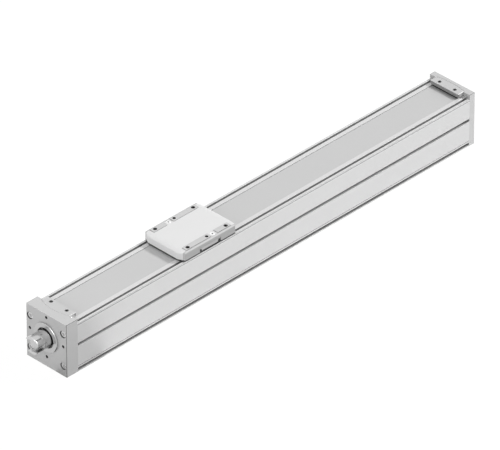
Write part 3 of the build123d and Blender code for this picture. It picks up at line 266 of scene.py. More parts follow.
class MaterialShop:
    """Makes each finish's material once and hands it out again."""

    DRIFT_SCALE = 18.0
    DRIFT_DETAIL = 3.0
    ROUGHNESS_DRIFT = 0.03
    MARK_DETAIL = 2.0
    CORNER_SAMPLES = 6
    ALONG_GRAIN = 0.01

    def __init__(self) -> None:
        """Start with no materials made."""
        self._made: dict[str, bpy.types.Material] = {}

    def get(self, finish: Finish) -> bpy.types.Material:
        """Return the material of a finish.

        Args:
            finish: The finish wanted.

        Returns:
            The material, made on first use.
        """
        if finish.name not in self._made:
            self._made[finish.name] = self._make(finish)
            LOG.info("material %s", finish.name)
        return self._made[finish.name]

    def _make(self, finish: Finish) -> bpy.types.Material:
        """Build the node tree of a finish.

        Colour is the base colour times 1 plus or minus the tone spread, led by slow noise. Roughness drifts
        with the same noise. The fine marks are noise stretched along the grain, fed as height to a bump on
        top of a rounded-corner normal.

        Args:
            finish: The finish to build.

        Returns:
            The new material.
        """
        material = bpy.data.materials.new(finish.name)
        material.use_nodes = True
        tree = material.node_tree
        tree.nodes.clear()
        link = tree.links.new
        output = add_node(tree, "OutputMaterial")
        shader = add_node(tree, "BsdfPrincipled", Metallic=finish.metallic, Specular_IOR_Level=finish.gloss)
        link(shader.outputs["BSDF"], output.inputs["Surface"])
        place = add_node(tree, "TexCoord")
        drift = add_node(tree, "TexNoise", Scale=self.DRIFT_SCALE, Detail=self.DRIFT_DETAIL)
        link(place.outputs["Object"], drift.inputs["Vector"])

        spread = finish.tone_spread
        tone = add_node(tree, "MapRange", To_Min=1.0 - spread, To_Max=1.0 + spread)
        link(drift.outputs["Fac"], tone.inputs["Value"])
        colour = add_node(tree, "VectorMath")
        colour.operation = "SCALE"
        colour.inputs[0].default_value = finish.colour
        level = self._zoned(tree, place, tone.outputs["Result"], finish.zones)
        link(level, colour.inputs["Scale"])
        link(colour.outputs["Vector"], shader.inputs["Base Color"])

        smoothest, roughest = finish.roughness - self.ROUGHNESS_DRIFT, finish.roughness + self.ROUGHNESS_DRIFT
        rough = add_node(tree, "MapRange", To_Min=smoothest, To_Max=roughest)
        link(drift.outputs["Fac"], rough.inputs["Value"])
        link(rough.outputs["Result"], shader.inputs["Roughness"])

        stretch = add_node(tree, "VectorMath")
        stretch.operation = "MULTIPLY"
        stretch.inputs[1].default_value = self._stretch(finish)
        link(place.outputs["Object"], stretch.inputs[0])
        marks = add_node(tree, "TexNoise", Scale=1.0, Detail=self.MARK_DETAIL)
        link(stretch.outputs["Vector"], marks.inputs["Vector"])

        corner = add_node(tree, "Bevel", Radius=finish.edge_radius)
        corner.samples = self.CORNER_SAMPLES
        bump = add_node(tree, "Bump", Strength=1.0, Distance=finish.grain_depth)
        link(marks.outputs["Fac"], bump.inputs["Height"])
        link(corner.outputs["Normal"], bump.inputs["Normal"])
        link(bump.outputs["Normal"], shader.inputs["Normal"])
        return material

    @staticmethod
    def _math(
        tree: bpy.types.NodeTree, operation: str, one: bpy.types.NodeSocket,
        other: bpy.types.NodeSocket | None = None,
    ) -> bpy.types.NodeSocket:
        """Add a math node.

        Args:
            tree: The material's nodes.
            operation: The node's operation.
            one: Its first input.
            other: Its second input, where it has one.

        Returns:
            The node's result.
        """
        node = add_node(tree, "Math")
        node.operation = operation
        tree.links.new(one, node.inputs[0])
        if other is not None:
            tree.links.new(other, node.inputs[1])
        return node.outputs["Value"]

    def _beyond(
        self, tree: bpy.types.NodeTree, place: bpy.types.Node, side: Side, limit: float,
    ) -> bpy.types.NodeSocket:
        """Make a step that is 1 beyond a limit on one side.

        Args:
            tree: The material's nodes.
            place: The node that gives Object coordinates.
            side: The side.
            limit: The limit, in metres.

        Returns:
            The step's socket.
        """
        axis, sign, both_halves = side.value
        parts = add_node(tree, "SeparateXYZ")
        tree.links.new(place.outputs["Object"], parts.inputs["Vector"])
        value = parts.outputs[axis]
        if both_halves:
            value = self._math(tree, "ABSOLUTE", value)
        blur = sign * ZONE_BLUR
        step = add_node(tree, "MapRange", From_Min=limit - blur, From_Max=limit + blur)
        tree.links.new(value, step.inputs["Value"])
        return step.outputs["Result"]

    def _zoned(
        self, tree: bpy.types.NodeTree, place: bpy.types.Node, level: bpy.types.NodeSocket,
        zones: tuple[Zone, ...],
    ) -> bpy.types.NodeSocket:
        """Multiply a tone level by each zone's own tone.

        Args:
            tree: The material's nodes.
            place: The node that gives Object coordinates.
            level: The tone so far.
            zones: The zones.

        Returns:
            The socket that carries the tone after all zones.
        """
        for zone in zones:
            inside = None
            for side, limit in zone.limits:
                step = self._beyond(tree, place, side, limit)
                inside = step if inside is None else self._math(tree, "MULTIPLY", inside, step)
            tone = add_node(tree, "MapRange", To_Min=1.0, To_Max=zone.tone)
            tree.links.new(inside, tone.inputs["Value"])
            level = self._math(tree, "MULTIPLY", level, tone.outputs["Result"])
        return level

    def _stretch(self, finish: Finish) -> tuple[float, float, float]:
        """Work out the noise scale on each axis for a finish's grain.

        Args:
            finish: The finish.

        Returns:
            Scales on X, Y and Z: a small one lets marks run long on that axis.
        """
        fine = finish.grain_scale
        long = fine * self.ALONG_GRAIN
        if finish.grain is Grain.ALONG_X:
            return long, fine, fine
        if finish.grain is Grain.TURNED:
            return fine, long, long
        return fine, fine, fine


def build_mesh(name: str, points: np.ndarray, quads: np.ndarray, smooth: bool = True) -> bpy.types.Object:
    """Make a mesh object at the origin from points and faces.

    Args:
        name: The object's name.
        points: One row per vertex, in metres.
        quads: One row of three or four vertex numbers per face.
        smooth: Whether faces are shaded smooth.

    Returns:
        The new object, linked to the scene.
    """
    mesh = bpy.data.meshes.new(name)
    mesh.from_pydata(points.tolist(), [], quads.tolist())
    mesh.update()
    mesh.polygons.foreach_set("use_smooth", np.full(len(mesh.polygons), smooth))
    obj = bpy.data.objects.new(name, mesh)
    bpy.context.scene.collection.objects.link(obj)
    return obj


def grid_faces(rows: int, columns: int, closed: bool = False) -> np.ndarray:
    """List the faces of a grid of points stored row by row, each row a loop.

    Args:
        rows: How many rows there are.
        columns: Points on each row.
        closed: Whether the last row joins the first.

    Returns:
        One row of four vertex numbers per face.
    """
    row, column = np.meshgrid(np.arange(rows if closed else rows - 1), np.arange(columns), indexing="ij")
    here, following = row * columns, (row + 1) % rows * columns
    beside = (column + 1) % columns
    faces = np.stack([here + column, here + beside, following + beside, following + column], axis=-1)
    return faces.reshape(-1, 4)


def turned_grid(
    name: str, xs: np.ndarray, radius: Callable[[np.ndarray, np.ndarray], np.ndarray],
    segments: int, centre: tuple[float, float],
) -> bpy.types.Object:
    """Make a surface turned about a line along X.

    The point in row i and column j lies at x_i, at angle t_j around the line, at the distance that the
    radius function gives for x_i and t_j.

    Args:
        name: The object's name.
        xs: Places of the rings on X.
        radius: Distance from the line for places on X and angles.
        segments: Points on each ring.
        centre: The line's Y and Z.

    Returns:
        The new object.
    """
    turn = np.linspace(0.0, 2 * math.pi, segments, endpoint=False)
    x, angle = np.meshgrid(xs, turn, indexing="ij")
    reach = radius(x, angle)
    points = np.stack([x, centre[0] + reach * np.cos(angle), centre[1] + reach * np.sin(angle)], axis=-1)
    return build_mesh(name, points.reshape(-1, 3), grid_faces(len(xs), segments)[:, ::-1])


@dataclass(frozen=True)
class Bore:
    """A round hole that gets a lining.

    Attributes:
        radius: The wall's radius.
        depth: How deep the lining goes.
        chamfer: Width of the cone at the mouth.
        pitch: Distance between two turns of the thread or tool mark.
        relief: Height of the thread or tool mark.
    """

    radius: float
    depth: float
    chamfer: float
    pitch: float
    relief: float


SLIDE_THREAD = Bore(0.00255, 0.0104, 0.0006, 0.0010, 0.00028)
FLANGE_THREAD = Bore(0.0021, 0.0115, 0.0004, 0.0008, 0.00025)
CENTRING_BORE = Bore(0.0025, 0.0048, 0.0, 0.0005, 0.00001)
SCREW_RECESS = Bore(0.00575, 0.0013, 0.0, 0.0003, 0.00001)


def bore_lining(name: str, bore: Bore) -> bpy.types.Object:
    """Make a hole's lining: a thin closed ring that stands just inside the hole's wall.

    The wall's radius at a depth d is the bore's radius plus what is left of the chamfer, the chamfer less d.
    The ring's inner radius is that less a gap and less a ridge, whose height follows a triangle wave of d
    over the pitch plus the angle over a full turn.

    Args:
        name: The object's name.
        bore: The hole.

    Returns:
        The new object, with its hole running down X from the origin.
    """
    rows = int(bore.depth / bore.pitch * THREAD_ROWS_PER_TURN)
    turn = np.linspace(0.0, 2 * math.pi, THREAD_SEGMENTS, endpoint=False)
    depth, angle = np.meshgrid(np.linspace(THREAD_WALL_GAP, bore.depth, rows), turn, indexing="ij")
    wall = bore.radius + np.clip(bore.chamfer - depth, 0.0, None) - THREAD_WALL_GAP
    phase = (depth / bore.pitch + angle / (2 * math.pi)) % 1.0
    ridge = bore.relief * (1.0 - np.abs(2.0 * phase - 1.0)) * (depth > bore.chamfer)
    face = wall - 2 * THREAD_WALL_GAP - ridge
    inner = np.stack([depth, face * np.cos(angle), face * np.sin(angle)], axis=-1)
    outer = np.stack([depth, wall * np.cos(angle), wall * np.sin(angle)], axis=-1)[::-1]
    points = np.concatenate([inner, outer]).reshape(-1, 3)
    return build_mesh(name, points, grid_faces(2 * rows, THREAD_SEGMENTS, closed=True))


def place_along(obj: bpy.types.Object, place: Vector, direction: Vector) -> None:
    """Turn a mesh's X towards a direction and move its origin to a place, in the mesh itself.

    Args:
        obj: The object, which stays at the origin.
        place: Where the mesh's origin goes.
        direction: Where the mesh's X goes.
    """
    turn = direction.to_track_quat("X", "Z").to_matrix().to_4x4()
    obj.data.transform(Matrix.Translation(place) @ turn)
    obj.data.update()


def write_box(label: str, sizes: dict[str, list[list[float]]]) -> None:
    """Note the whole object's box under a label.

    Args:
        label: The name to note it under.
        sizes: The boxes noted so far.
    """
    low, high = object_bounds()
    sizes[label] = [[float(v) for v in low], [float(v) for v in high]]


@dataclass
class Assembly:
    """What every sub-assembly shares.

    Attributes:
        shop: Where materials come from.
    """

    frame: dict
    shop: MaterialShop

    def node(self, name: str) -> bpy.types.Object:
        """Return a CAD node's object.

        Args:
            name: The node's name.

        Returns:
            The object.
        """
        return self.frame["nodes"][name]

    def points(self, name: str) -> np.ndarray:
        """Return a CAD node's vertices.

        Args:
            name: The node's name.

        Returns:
            One row per vertex, in metres.
        """
        mesh = self.node(name).data
        flat = np.zeros(len(mesh.vertices) * 3)
        mesh.vertices.foreach_get("co", flat)
        return flat.reshape(-1, 3)

    def dress(self, finish: Finish, *names: str) -> None:
        """Give CAD nodes a finish.

        Args:
            finish: The finish.
            names: The nodes' names.
        """
        for name in names:
            mesh = self.node(name).data
            mesh.materials.clear()
            mesh.materials.append(self.shop.get(finish))
            LOG.info("node %s has finish %s", name, finish.name)

    def add(self, obj: bpy.types.Object, finish: Finish) -> None:
        """Give a new object its finish and report it.

        Args:
            obj: The object.
            finish: Its finish.
        """
        obj.data.materials.append(self.shop.get(finish))
        LOG.info("piece %s has %d vertices", obj.name, len(obj.data.vertices))


@dataclass(frozen=True)
class Band:
    """A band along the profile, on both of its sides, that has its own tone, used for painted shade in
    grooves and gaps and for thin dark lines.

    Attributes:
        tone: What the colour is multiplied by there.
        inner: How far in from the profile's side it starts.
        outer: How far in from that side it stops.
        bottom: Its lower limit, above the foot or, where negative, below the top.
        upper: Its upper limit, counted in the same way.
    """

    tone: float
    inner: float
    outer: float
    bottom: float
    upper: float

    def zone(self, half: float, top: float) -> Zone:
        """Turn the band into a zone of the profile's finish.

        Args:
            half: Half the profile's width.
            top: The profile's height.

        Returns:
            The zone.
        """
        bottom = self.bottom + (top if self.bottom < 0 else 0.0)
        upper = self.upper + (top if self.upper < 0 else 0.0)
        return Zone(self.tone, (
            (Side.OUTWARD, half - self.inner), (Side.INWARD, half - self.outer),
            (Side.UPWARD, bottom), (Side.DOWNWARD, upper),
        ))


# Painted shade in the top grooves, side slots and foot grooves; the two marks are thin dark lines along the
# sides
TOP_GROOVE_SHADE = Band(0.48, 0.0077, 0.0033, -0.0062, -0.0002)
SIDE_SLOT_SHADE = Band(0.8, 0.0070, 0.0002, 0.0414, 0.0500)
FOOT_GROOVE_SHADE = Band(0.48, 0.0052, 0.0002, 0.0021, 0.0069)
LOW_MARKS = Band(0.12, 0.0006, 0.00005, 0.0089, 0.0101)
HIGH_MARKS = Band(0.12, 0.0006, 0.00005, -0.0031, -0.0019)


@dataclass
class Housing(Assembly):
    """The profile, the caps and what is fixed in them.

    Attributes:
        flange_circle: Radius of the flange holes' circle.
        strip_gap: Width of the gap beside the cover strip, with the step up from it.
        strip_gap_depth: How far that gap reaches down from the profile's top.
        strip_gap_shade_tone: Painted shade inside that gap, as a tone.
        skin: How far below a face the tone under it starts.
        top_edge: Size of the profile's rounded top edges.
        top_edge_shade_tone: Painted shade on them, as a tone, that dims their highlight.
        cap_screw_inset: How far the cap screws stand in from the sides.
        cap_screw_heights: Heights of the cap screws.
        cap_top_light_tone: Painted light on a cap's top, as a tone beside its outer face.
        cap_side_light_tone: Painted light on a cap's sides, as a tone beside its outer face.
        clamp_face_shade_tone: Painted shade on a strip clamp's face over the strip, as a tone.
        clamp_nose: How deep that face is bowed.
        corner_shade_tone: Painted shade along a cap's corners, as a tone.
        line_width: Width of that painted shade, and how far below a strip clamp's top the painted shade of
            its face stops.
    """

    flange_circle: float = 0.0333
    strip_gap: float = 0.00026
    strip_gap_depth: float = 0.0012
    strip_gap_shade_tone: float = 0.15
    skin: float = 0.00005
    top_edge: float = 0.0009
    top_edge_shade_tone: float = 0.60
    cap_screw_inset: float = 0.007
    cap_screw_heights: tuple[float, float] = (0.0167, 0.0707)
    cap_top_light_tone: float = 1.15
    cap_side_light_tone: float = 1.22
    clamp_face_shade_tone: float = 0.5
    clamp_nose: float = 0.003
    corner_shade_tone: float = 0.2
    line_width: float = 0.00055

    def build(self) -> None:
        """Dress the fixed nodes and line the flange holes with threads."""
        self.dress(self.profile_finish(), "profile")
        self.dress(self.cap_finish("drive_cap", Side.TOWARDS_DRIVE_END), "drive_cap")
        self.dress(self.cap_finish("far_cap", Side.TOWARDS_FAR_END), "far_cap")
        self.dress(self.clamp_finish("drive_strip_clamp", Side.TOWARDS_FAR_END), "drive_strip_clamp")
        self.dress(self.clamp_finish("far_strip_clamp", Side.TOWARDS_DRIVE_END), "far_strip_clamp")
        self.dress(TURNED_STEEL, "pilot_ring", "sealing_plugs")
        self.dress(BRIGHT_SCREW, "drive_cap_screws", "far_cap_screws")
        self.dress(BLACK_STEEL, "strip_clamp_screws")
        self.dress(SCREW_STEEL, "rail_screws")
        self.dress(GROUND_STEEL, "guide_rail", "drive_bearing_ring", "far_bearing_ring")
        self.dress(MAGNET, "strip_magnets")
        self.dress(RUBBER, "drive_buffers", "far_buffers")
        self.flange_threads()
        self.screw_recesses("drive_cap", Side.TOWARDS_DRIVE_END)
        self.screw_recesses("far_cap", Side.TOWARDS_FAR_END)

    def profile_finish(self) -> Finish:
        """Give the profile its tones: painted shade in its grooves, slots and the gap beside the strip, thin
        dark lines along its sides, and painted shade that dims its top edges' highlight.

        Returns:
            The finish.
        """
        half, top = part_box("profile")[1][1:]
        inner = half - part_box("cover_strip")[1][1]
        # Painted shade in the gap beside the cover strip
        gap = Band(self.strip_gap_shade_tone, inner, inner - self.strip_gap, -self.strip_gap_depth, -self.skin)
        bands = (gap, TOP_GROOVE_SHADE, SIDE_SLOT_SHADE, FOOT_GROOVE_SHADE, LOW_MARKS, HIGH_MARKS)
        # Painted shade on the rounded top edges, dimming the highlight they catch
        edge = Zone(self.top_edge_shade_tone, (
            (Side.OUTWARD, half - self.top_edge), (Side.UPWARD, top - self.top_edge),
        ))
        zones = tuple(band.zone(half, top) for band in bands) + (edge,)
        return replace(ANODISED_PROFILE, name="profile_aluminium", slot="anodised_profile", zones=zones)

    def cap_finish(self, name: str, outward: Side) -> Finish:
        """Give a cap its tones: painted light that makes its top and sides paler than its outer face, and
        painted shade along its corners.

        Args:
            name: The cap's node.
            outward: The side that its outer face looks to.

        Returns:
            The finish.
        """
        low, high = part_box(name)
        face = low[0] if outward is Side.TOWARDS_DRIVE_END else high[0]
        inward = 1.0 if outward is Side.TOWARDS_DRIVE_END else -1.0
        side, top = (Side.OUTWARD, high[1] - self.line_width), (Side.UPWARD, high[2] - self.line_width)
        front = (outward, face + inward * self.line_width)
        # Painted light on the top and sides, painted shade along the corners
        zones = (
            Zone(self.cap_top_light_tone, (top,)), Zone(self.cap_side_light_tone, (side,)),
            Zone(self.corner_shade_tone, (side, top)), Zone(self.corner_shade_tone, (side, front)),
        )
        return replace(CAP_ALUMINIUM, name=f"{name}_aluminium", slot="cap_aluminium", zones=zones)

    def clamp_finish(self, name: str, inward: Side) -> Finish:
        """Give a strip clamp painted shade on its face over the strip.

        Args:
            name: The clamp's node.
            inward: The side that this face looks to.

        Returns:
            The finish.
        """
        low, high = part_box(name)
        reach = self.clamp_nose
        face = high[0] - reach if inward is Side.TOWARDS_FAR_END else low[0] + reach
        # Painted shade on the face over the strip
        zones = (Zone(self.clamp_face_shade_tone, ((inward, face), (Side.DOWNWARD, high[2] - self.line_width))),)
        return replace(CLAMP_ALUMINIUM, name=f"{name}_aluminium", slot="clamp_aluminium", zones=zones)

    def screw_recesses(self, name: str, outward: Side) -> None:
        """Line the four recesses of a cap's screws, with linings that carry painted shade.

        Args:
            name: The cap's node.
            outward: The side that its outer face looks to.
        """
        low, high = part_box(name)
        at_drive_end = outward is Side.TOWARDS_DRIVE_END
        face, inward = (low[0], 1.0) if at_drive_end else (high[0], -1.0)
        for row, z in enumerate(self.cap_screw_heights):
            for side in (-1, 1):
                lining = bore_lining(f"{name}_recess_{2 * row + (side + 1) // 2 + 1}", SCREW_RECESS)
                y = side * (high[1] - self.cap_screw_inset)
                place_along(lining, Vector((face, y, z)), Vector((inward, 0.0, 0.0)))
                self.add(lining, BORE_SHADE_CAP)
                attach(lining, "base")

    def flange_threads(self) -> None:
        """Line the four threaded holes of the drive flange, with linings that carry painted shade."""
        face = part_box("drive_cap")[0][0]
        for index in range(4):
            turn = index * math.pi / 2
            y = self.flange_circle * math.cos(turn)
            z = SCREW_HEIGHT + self.flange_circle * math.sin(turn)
            lining = bore_lining(f"flange_thread_{index + 1}", FLANGE_THREAD)
            place_along(lining, Vector((face, y, z)), Vector((1.0, 0.0, 0.0)))
            self.add(lining, BORE_SHADE_CAP)
            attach(lining, "base")


@dataclass
class Slide(Assembly):
    """The slide plate and what moves with it.

    Attributes:
        hole_spacing: Distances between the threaded holes on X and Y.
        pad_height: How far the pads stand above the plate.
        pad_tone: Tone of the pads beside the plate's land.
        step_shade_tone: Painted shade on the steps up to the pads, as a tone.
        edge_shade_tone: Painted shade on the plate's long rounded edges, dimming their highlight, as a tone.
        side_shade_tone: Painted shade on the plate's two long sides, as a tone.
        socket_shade_tone: Painted shade inside the bolts' sockets, as a tone.
        socket_rim: How far down the sockets that painted shade starts.
        foot_shade_tone: Painted shade along the plate's lower edge, standing in for the shadow of the gap
            under it, as a tone.
        foot_shade_height: How high that painted shade reaches.
        corner_inset: How far in from each side the plate's cut corners start.
        corner_length: How far from each end they stop.
        step_skin: How far below the pads' top and above the land the steps' painted shade starts and stops.
        edge_width: How far in from the plate's sides the painted shade of its rounded edges starts.
        side_skin: How far in from the plate's sides their own painted shade starts.
        land_gloss: Specular level of the plate.
        bolt_tone: Tone of the bolts' heads.
        bolt_metallic: Share of metal in them.
        skirt_inset: How far the skirt stands in from the plate's outline.
        skirt_thickness: The skirt's thickness.
        skirt_drop: How far the skirt hangs below the plate.
    """

    hole_spacing: tuple[float, float] = (0.076, 0.065)
    pad_height: float = 0.0009
    pad_tone: float = 0.79
    step_shade_tone: float = 0.35
    edge_shade_tone: float = 0.66
    side_shade_tone: float = 0.53
    socket_shade_tone: float = 0.2
    socket_rim: float = 0.0004
    foot_shade_tone: float = 0.12
    foot_shade_height: float = 0.0009
    corner_inset: float = 0.0106
    corner_length: float = 0.005
    step_skin: float = 0.00006
    edge_width: float = 0.0034
    side_skin: float = 0.0003
    land_gloss: float = 0.3
    bolt_tone: float = 0.97
    bolt_metallic: float = 0.1
    skirt_inset: float = 0.0003
    skirt_thickness: float = 0.0007
    skirt_drop: float = 0.00138

    def build(self) -> None:
        """Dress the slide's nodes and line its threaded holes."""
        low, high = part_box("slide_plate")
        top = high[2]
        # Painted shade on the steps, the rounded edges, the long sides and the lower edge; the pads' tone is
        # their own colour
        zones = (
            Zone(self.step_shade_tone, ((Side.UPWARD, top - self.pad_height + self.step_skin),)),
            Zone(self.pad_tone / self.step_shade_tone, ((Side.UPWARD, top - self.step_skin),)),
            Zone(self.edge_shade_tone, ((Side.OUTWARD, high[1] - self.edge_width),)),
            Zone(self.side_shade_tone / self.edge_shade_tone, ((Side.OUTWARD, high[1] - self.side_skin),)),
            # Painted shadow of the gap under the plate, along its lower edge
            Zone(self.foot_shade_tone, ((Side.DOWNWARD, low[2] + self.foot_shade_height),)),
        )
        plate = replace(SLIDE_ALUMINIUM, name="slide_plate_aluminium", gloss=self.land_gloss, zones=zones)
        self.dress(plate, "slide_plate")
        self.dress(SLIDE_ALUMINIUM, "carrier")
        self.dress(self.bolt_finish(), "slide_bolts")
        self.dress(SCREW_STEEL, "runner_screws", "nut_screws")
        self.dress(GROUND_STEEL, "runner_block_drive", "runner_block_far", "ball_nut")
        self.dress(DARK_PLASTIC, "drive_strip_guide", "far_strip_guide", "strip_wipers")
        self.dress(DARK_PLASTIC, "runner_end_caps", "side_seals")
        self.dress(PALE_PLASTIC, "nut_wipers")
        self.dress(BLACK_STEEL, "lubrication_nipples")
        middle = Vector(((low[0] + high[0]) / 2, (low[1] + high[1]) / 2, high[2]))
        self.slide_threads(middle)
        self.skirt(middle, low[2])

    def bolt_finish(self) -> Finish:
        """Give the slide's bolts pale heads with painted shade in their sockets.

        Returns:
            The finish.
        """
        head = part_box("slide_bolts")[1][2]
        # Painted shade inside the sockets
        zones = (Zone(self.socket_shade_tone, ((Side.DOWNWARD, head - self.socket_rim),)),)
        return replace(
            BRIGHT_SCREW, name="pale_screw_steel", colour=grey(self.bolt_tone), metallic=self.bolt_metallic,
            zones=zones,
        )

    def skirt(self, middle: Vector, underside: float) -> None:
        """Draw the thin dark rubber skirt that closes the gap under the plate's outline: partly a real seal,
        partly a dark sheet that stands in for the shade in that gap.

        Its eight-cornered outline is the plate's own, drawn in by an inset, and a second one drawn in by the
        inset and the skirt's thickness. Both are joined at the plate's underside and at the skirt's foot.

        Args:
            middle: The middle of the plate.
            underside: Height of the plate's underside.
        """
        low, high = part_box("slide_plate")
        length, half = (high[0] - low[0]) / 2, high[1]
        loops = []
        for inset in (self.skirt_inset, self.skirt_inset + self.skirt_thickness):
            end, side = length - inset, half - inset
            start = half - self.corner_inset - inset / 2
            shoulder = length - self.corner_length - inset / 2
            quarter = np.array([(end, start), (shoulder, side)])
            flipped = quarter[::-1] * (-1, 1)
            loops.append(np.vstack([quarter, flipped, quarter * (-1, -1), flipped * (-1, -1)]))
        foot = underside - self.skirt_drop
        rings = [(loops[0], foot), (loops[0], underside), (loops[1], underside), (loops[1], foot)]
        rows = [np.column_stack([loop + (middle.x, middle.y), np.full(len(loop), z)]) for loop, z in rings]
        quads = grid_faces(len(rings), len(loops[0]), closed=True)[:, ::-1]
        # Partly a real seal and partly painted shade: a dark sheet in the gap under the plate
        skirt = build_mesh("slide_skirt_and_gap_shade", np.concatenate(rows), quads, smooth=False)
        self.add(skirt, DARK_PLASTIC)
        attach(skirt, "slide")

    def slide_threads(self, middle: Vector) -> None:
        """Line the four threaded holes of the pads, with linings that carry painted shade.

        Args:
            middle: The middle of the plate at the pads' height.
        """
        across, along = self.hole_spacing[1] / 2, self.hole_spacing[0] / 2
        for side, row in ((-1, "front"), (1, "back")):
            for step, bore in ((-along, SLIDE_THREAD), (0.0, CENTRING_BORE), (along, SLIDE_THREAD)):
                kind = "thread" if step else "centring"
                end = "_far" if step > 0 else "_drive" if step < 0 else ""
                lining = bore_lining(f"slide_{kind}_{row}{end}", bore)
                place_along(lining, middle + Vector((step, side * across, 0.0)), Vector((0.0, 0.0, -1.0)))
                self.add(lining, BORE_SHADE)
                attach(lining, "slide")


@dataclass
class Spindle(Assembly):
    """The ball screw, what sits on it and the bearings' balls.

    Attributes:
        tip_length: How much of the drive end holds the centre hole.
        least_radius: Radius below which a point belongs to that hole.
        fade_length: Length over which the ball groove fades out at each end.
        round_off: Difference between two lengths that counts as none.
        sharp_angle: Angle above which an edge stays sharp, in degrees.
    """

    tip_length: float = 0.0035
    least_radius: float = 0.003
    fade_length: float = 0.004
    round_off: float = 1e-5
    sharp_angle: float = 35.0

    def build(self) -> None:
        """Dress the turning nodes and draw the threaded screw."""
        self.dress(HUB_STEEL, "drive_hub")
        self.dress(TURNED_STEEL, "drive_lock_nut")
        self.dress(SCREW_STEEL, "hub_set_screw")
        self.dress(
            GROUND_STEEL, "ball_screw", "drive_bearing_inner_ring", "far_bearing_inner_ring",
            "far_retaining_ring", "drive_bearing_balls", "far_bearing_balls",
        )
        self.dress(PALE_PLASTIC, "drive_bearing_cage", "far_bearing_cage")
        self.threaded_screw()

    def outline(self) -> tuple[np.ndarray, np.ndarray]:
        """Read the screw's stepped outline from its CAD node.

        Returns:
            Places on X and the outer radius at each, in order along X. A step has two entries at one place.
        """
        points = self.points("ball_screw")
        reach = np.hypot(points[:, 1], points[:, 2] - SCREW_HEIGHT)
        key = np.round(points[:, 0] * MICRONS).astype(int)
        tip = points[:, 0].min() + self.tip_length
        xs, radii = [], []
        for value in np.unique(key):
            here = np.unique(np.round(reach[key == value], 6))
            here = here[here > self.least_radius]
            if not len(here):
                continue
            place = value / MICRONS
            if place < tip or len(here) == 1:
                xs.append(place)
                radii.append(here.max())
            else:
                before = radii[-1]
                order = sorted((here.min(), here.max()), key=lambda r: abs(r - before))
                xs.extend([place, place])
                radii.extend(order)
        return np.array(xs), np.array(radii)

    def threaded_screw(self) -> None:
        """Draw the screw with its ball groove.

        The radius is the solid's own radius less a groove. The groove's phase is x over the lead plus the
        angle over a full turn, times the number of starts, and its depth follows a half circle over the
        groove's share of the phase. It fades out over the screw's last few millimetres.
        """
        xs, radii = self.outline()
        full = radii.max()
        threaded = xs[np.isclose(radii, full, atol=self.round_off)]
        start, end = threaded.min(), threaded.max()
        rings = int((end - start) / SCREW_LEAD * SCREW_RINGS_PER_TURN)
        thinner = full - self.round_off
        before = [(x, r) for x, r in zip(xs, radii) if x < start or (x == start and r < thinner)]
        after = [(x, r) for x, r in zip(xs, radii) if x > end or (x == end and r < thinner)]
        middle = [(x, full) for x in np.linspace(start, end, rings)]
        line = np.array(before + middle + after)
        line = np.vstack([[line[0, 0], HAIR], line, [line[-1, 0], HAIR]])
        plain = line[:, 1]

        def reach(x: np.ndarray, angle: np.ndarray) -> np.ndarray:
            """Give the screw's radius at places on X and angles.

            Args:
                x: Places on X.
                angle: Angles round the axis.

            Returns:
                The radius at each.
            """
            phase = (x / SCREW_LEAD + angle / (2 * math.pi)) * SCREW_STARTS
            off = np.abs((phase % 1.0) - 0.5) / (SCREW_GROOVE_SHARE / 2)
            groove = np.sqrt(np.clip(1.0 - off**2, 0.0, 1.0)) * SCREW_GROOVE_DEPTH
            fade = np.clip(np.minimum(x - start, end - x) / self.fade_length, 0.0, 1.0)
            own = np.repeat(plain[:, None], x.shape[1], axis=1)
            return own - np.where(own > thinner, groove * fade, 0.0)

        screw = turned_grid("ball_screw_threaded", line[:, 0], reach, SCREW_SEGMENTS, (0.0, SCREW_HEIGHT))
        screw.data.set_sharp_from_angle(angle=math.radians(self.sharp_angle))
        self.add(screw, GROUND_STEEL)
        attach(screw, "spindle")
        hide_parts("ball_screw")


